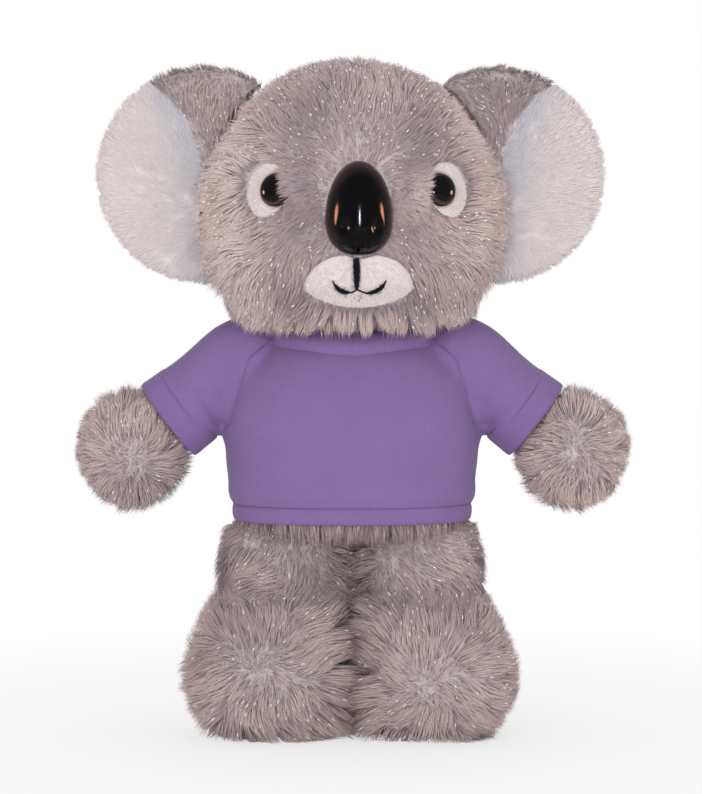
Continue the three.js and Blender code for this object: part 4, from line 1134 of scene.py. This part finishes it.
collar_steps = [(h * mm, (neck_wide + w) * mm, (neck_deep + w) * mm) for h, w in collar_rings]
collar = tube("shirt_neck_rib", collar_steps, 96)
drop_caps(collar)
corner = vertex_places(collar)
angle = np.arctan2(corner[:, 1] / neck_deep, corner[:, 0] / neck_wide)
corner[:, 2] += np.interp(angle, np.append(bins, math.pi), np.append(top, top[0]))
corner[:, 1] += body_axis_y
move_vertices(collar, corner)
give_cloth_map(collar, angle * 35 * mm, corner[:, 2])

# Hem band: a doubled band of the same knit round the bottom edge. It is a little tighter than the body,
# which blouses over it.
hem_wide = 53
hem_deep = 38
hem_rings = (
    (98.6, -2.2), (97.3, -1.4), (96.9, -0.4), (97.5, 0.4), (99.5, 0.9), (102.2, 0.9), (104.0, 0.5),
    (104.9, -0.4), (105.2, -1.5),
)
hem_steps = [(h * mm, (hem_wide + w) * mm, (hem_deep + w) * mm) for h, w in hem_rings]
hem = tube("shirt_hem_band", hem_steps, 128, squareness=2.4)
drop_caps(hem)
corner = vertex_places(hem)
angle = np.arctan2(corner[:, 1], corner[:, 0])
corner[:, 1] += body_axis_y
move_vertices(hem, corner)
give_cloth_map(hem, angle * 50 * mm, corner[:, 2])

# Cuffs: the sleeve ends are turned up once and stitched, so that they stand off the arm as thin rings
# with a rolled edge. They move with the arms.
cuff_rings = (
    (18.1, 17.8), (17.9, 18.9), (18.6, 19.5), (20.5, 19.7), (26, 19.9), (29.8, 20.1), (31.1, 19.8),
    (31.4, 18.8), (30.4, 17.6), (28, 17.4),
)
for side, label in ((1, "left"), (-1, "right")):
    down = Vector((side * math.cos(arm_drop), 0, -math.sin(arm_drop)))
    cuff = tube("shirt_cuff_" + label, [(h * mm, r * mm, r * mm) for h, r in cuff_rings], 96)
    drop_caps(cuff)
    corner = vertex_places(cuff)
    give_cloth_map(cuff, np.arctan2(corner[:, 1], corner[:, 0]) * 20 * mm, corner[:, 2])
    turn = down.to_track_quat("Z", "Y").to_matrix().to_4x4()
    cuff.data.transform(Matrix.Translation((side * shoulder[0], shoulder[1], shoulder[2])) @ turn)
    apply_modifier(cuff, "SOLIDIFY", thickness=0.7 * mm, offset=-1)
    cuff.data.materials.append(jersey)
    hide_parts("sleeve_cuff_" + label)
    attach(cuff, "arm_" + label)

# Panels: front, back and two raglan sleeves, cut from the jersey and sewn along the slanting seams. The
# sleeves stay where they are made, between the body of the shirt and the arms.
middles = read(shirt.data.polygons, "center")
beyond = np.abs(middles[:, 0]) > seam_x(middles[:, 2])
for name, node, wanted in (
    ("shirt_panel_front", "shirt_front", ~beyond & (middles[:, 1] < body_axis_y)),
    ("shirt_panel_back", "shirt_back", ~beyond & (middles[:, 1] >= body_axis_y)),
    ("shirt_raglan_left", "shirt_sleeve_left", beyond & (middles[:, 0] > 0)),
    ("shirt_raglan_right", "shirt_sleeve_right", beyond & (middles[:, 0] < 0)),
):
    panel = shirt_copy(name)
    keep_faces(panel, wanted)
    corner = vertex_places(panel)
    if "raglan" in name:
        side = 1 if "left" in name else -1
        out = (corner[:, 0] - side * shoulder[0]) * side
        up = corner[:, 2] - shoulder[2]
        across = out * math.sin(sleeve_drop) + up * math.cos(sleeve_drop)
        around = np.arctan2(corner[:, 1] - body_axis_y, across) * 19 * mm
        lengthwise = out * math.cos(sleeve_drop) - up * math.sin(sleeve_drop)
    else:
        spin = np.arctan2(corner[:, 1] - body_axis_y, corner[:, 0])
        around = np.where(spin < -math.pi / 2 - 1.6, spin + 2 * math.pi, spin) * 50 * mm
        lengthwise = corner[:, 2]
    give_cloth_map(panel, around, lengthwise)
    apply_modifier(panel, "SOLIDIFY", thickness=1.1 * mm, offset=-1)
    panel.data.materials.clear()
    panel.data.materials.append(jersey)
    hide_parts(node)
    if "raglan" in name:
        arm = node.replace("shirt_sleeve", "arm")
        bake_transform(panel)
    else:
        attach(panel, "torso")
bpy.data.objects.remove(shirt)
for piece, node, knit, flat in (
    (collar, "shirt_collar", rib_knit, (225, 20)), (hem, "shirt_hem", jersey, (295, 12.5)),
):
    apply_modifier(piece, "SOLIDIFY", thickness=0.9 * mm, offset=-1)
    piece.data.materials.append(knit)
    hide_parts(node)
    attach(piece, "torso")

# Torso: the same grey plush under the shirt, stuffed and sewn to the head, arms and legs, and shorn so
# that the shirt lies close. Only the hair under the hem is left long.
torso = stuffed_skin("torso_cover", ["torso_skin", "torso_stuffing"], 1.6 * mm)
torso.data.materials.append(grey_backing)
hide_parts("torso_skin", "torso_stuffing")
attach(torso, "torso")
places, normals = scatter(torso, 1.1, 91)
kept = places[:, 2] < 101 * mm
places, normals = places[kept], normals[kept]
random = np.random.default_rng(92)
below = rise(-normals[:, 2], 0.3, 0.8)
hair = pile(
    "torso_pile", places, normals, np.tile((0.0, 0.1, -1.0), (len(places), 1)), (8 + 5 * below) * mm,
    (0.5 - 0.4 * below, 1.1 - 0.6 * below), 0.35 + random.normal(0, 0.12, len(places)),
    grey_pile, 93, clump=0.5,
)
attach(hair, "torso")

# Floor and light: a white studio sweep, broad soft lamps in front, above and behind, and a warm strip at
# each side and a small cool lamp by the camera, which show only in gloss. Floor and backdrop are white to
# the camera, and the floor keeps a faint shadow of the toy.
select_only()
bpy.ops.mesh.primitive_plane_add(size=8, location=(0, 0, 0))
floor = bpy.context.object
floor.name = "floor"
floor_white, tree, shader = start_material("floor_white")
set_values(shader, Base_Color=colour(245, 245, 246), Roughness=0.9)
bright = add_node(tree, "Emission", Color=(1, 1, 1, 1), Strength=1)
place = add_node(tree, "TexCoord")
reach = add_node(tree, "VectorMath", operation="LENGTH")
fade = add_node(tree, "MapRange", From_Min=0.05, From_Max=0.4, To_Min=0.72, To_Max=1)
ray = add_node(tree, "LightPath")
seen = add_node(tree, "Math", operation="MAXIMUM")
amount = add_node(tree, "Math", operation="MULTIPLY")
mix = add_node(tree, "MixShader")
wire(
    tree, (place, "Object", reach, 0), (reach, "Value", fade, "Value"), (ray, "Is Camera Ray", seen, 0),
    (ray, "Is Transmission Ray", seen, 1), (seen, 0, amount, 0), (fade, 0, amount, 1), (amount, 0, mix, 0),
    (shader, 0, mix, 1), (bright, 0, mix, 2), (mix, 0, tree.nodes["Material Output"], "Surface"),
)
floor.data.materials.append(floor_white)
floor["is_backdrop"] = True

world = bpy.data.worlds.new("studio")
bpy.context.scene.world = world
world.use_nodes = True
tree = world.node_tree
tree.nodes.clear()
backdrop = add_node(tree, "Background", Color=(1, 1, 1, 1))
ambient = add_node(tree, "Background", Color=(0.98, 0.97, 1, 1), Strength=0.42)
ray = add_node(tree, "LightPath")
seen = add_node(tree, "Math", operation="MAXIMUM")
choice = add_node(tree, "MixShader")
wire(
    tree, (ray, "Is Camera Ray", seen, 0), (ray, "Is Transmission Ray", seen, 1), (seen, 0, choice, 0),
    (ambient, 0, choice, 1), (backdrop, 0, choice, 2), (choice, 0, add_node(tree, "OutputWorld"), "Surface"),
)

for name, place, size, power, tone, in_gloss in (
    ("key_lamp", (-0.4, -1.45, 0.45), 0.9, 8, (1, 0.97, 0.95), False),
    ("fill_lamp", (0.65, -1.3, 0.15), 0.8, 6, (1, 0.97, 0.94), False),
    ("top_lamp", (0.0, 0.1, 1.5), 1.2, 4, (0.97, 0.98, 1), False),
    ("back_lamp", (0.0, 1.5, 0.5), 1.0, 6, (1, 0.98, 0.97), False),
    ("camera_lamp", (0.0, -1.5, 0.22), 0.07, 7, (0.8, 0.88, 1), True),
    ("strip_lamp_left", (1.0, 0.06, 0.26), 0.22, 5, (1, 0.42, 0.24), True),
    ("strip_lamp_right", (-1.0, 0.06, 0.26), 0.22, 5, (1, 0.42, 0.24), True),
):
    lamp = placed(name, bpy.data.lights.new(name, "AREA"))
    lamp.data.shape = "DISK"
    lamp.data.size = size
    lamp.data.energy = power
    lamp.data.color = tone
    lamp.location = place
    lamp.rotation_euler = (Vector(place) - Vector((0, 0, 0.16))).to_track_quat("Z", "Y").to_euler()
    lamp.visible_glossy = in_gloss
    lamp.visible_diffuse = not in_gloss

bpy.context.scene.view_settings.view_transform = "Standard"

low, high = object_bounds()
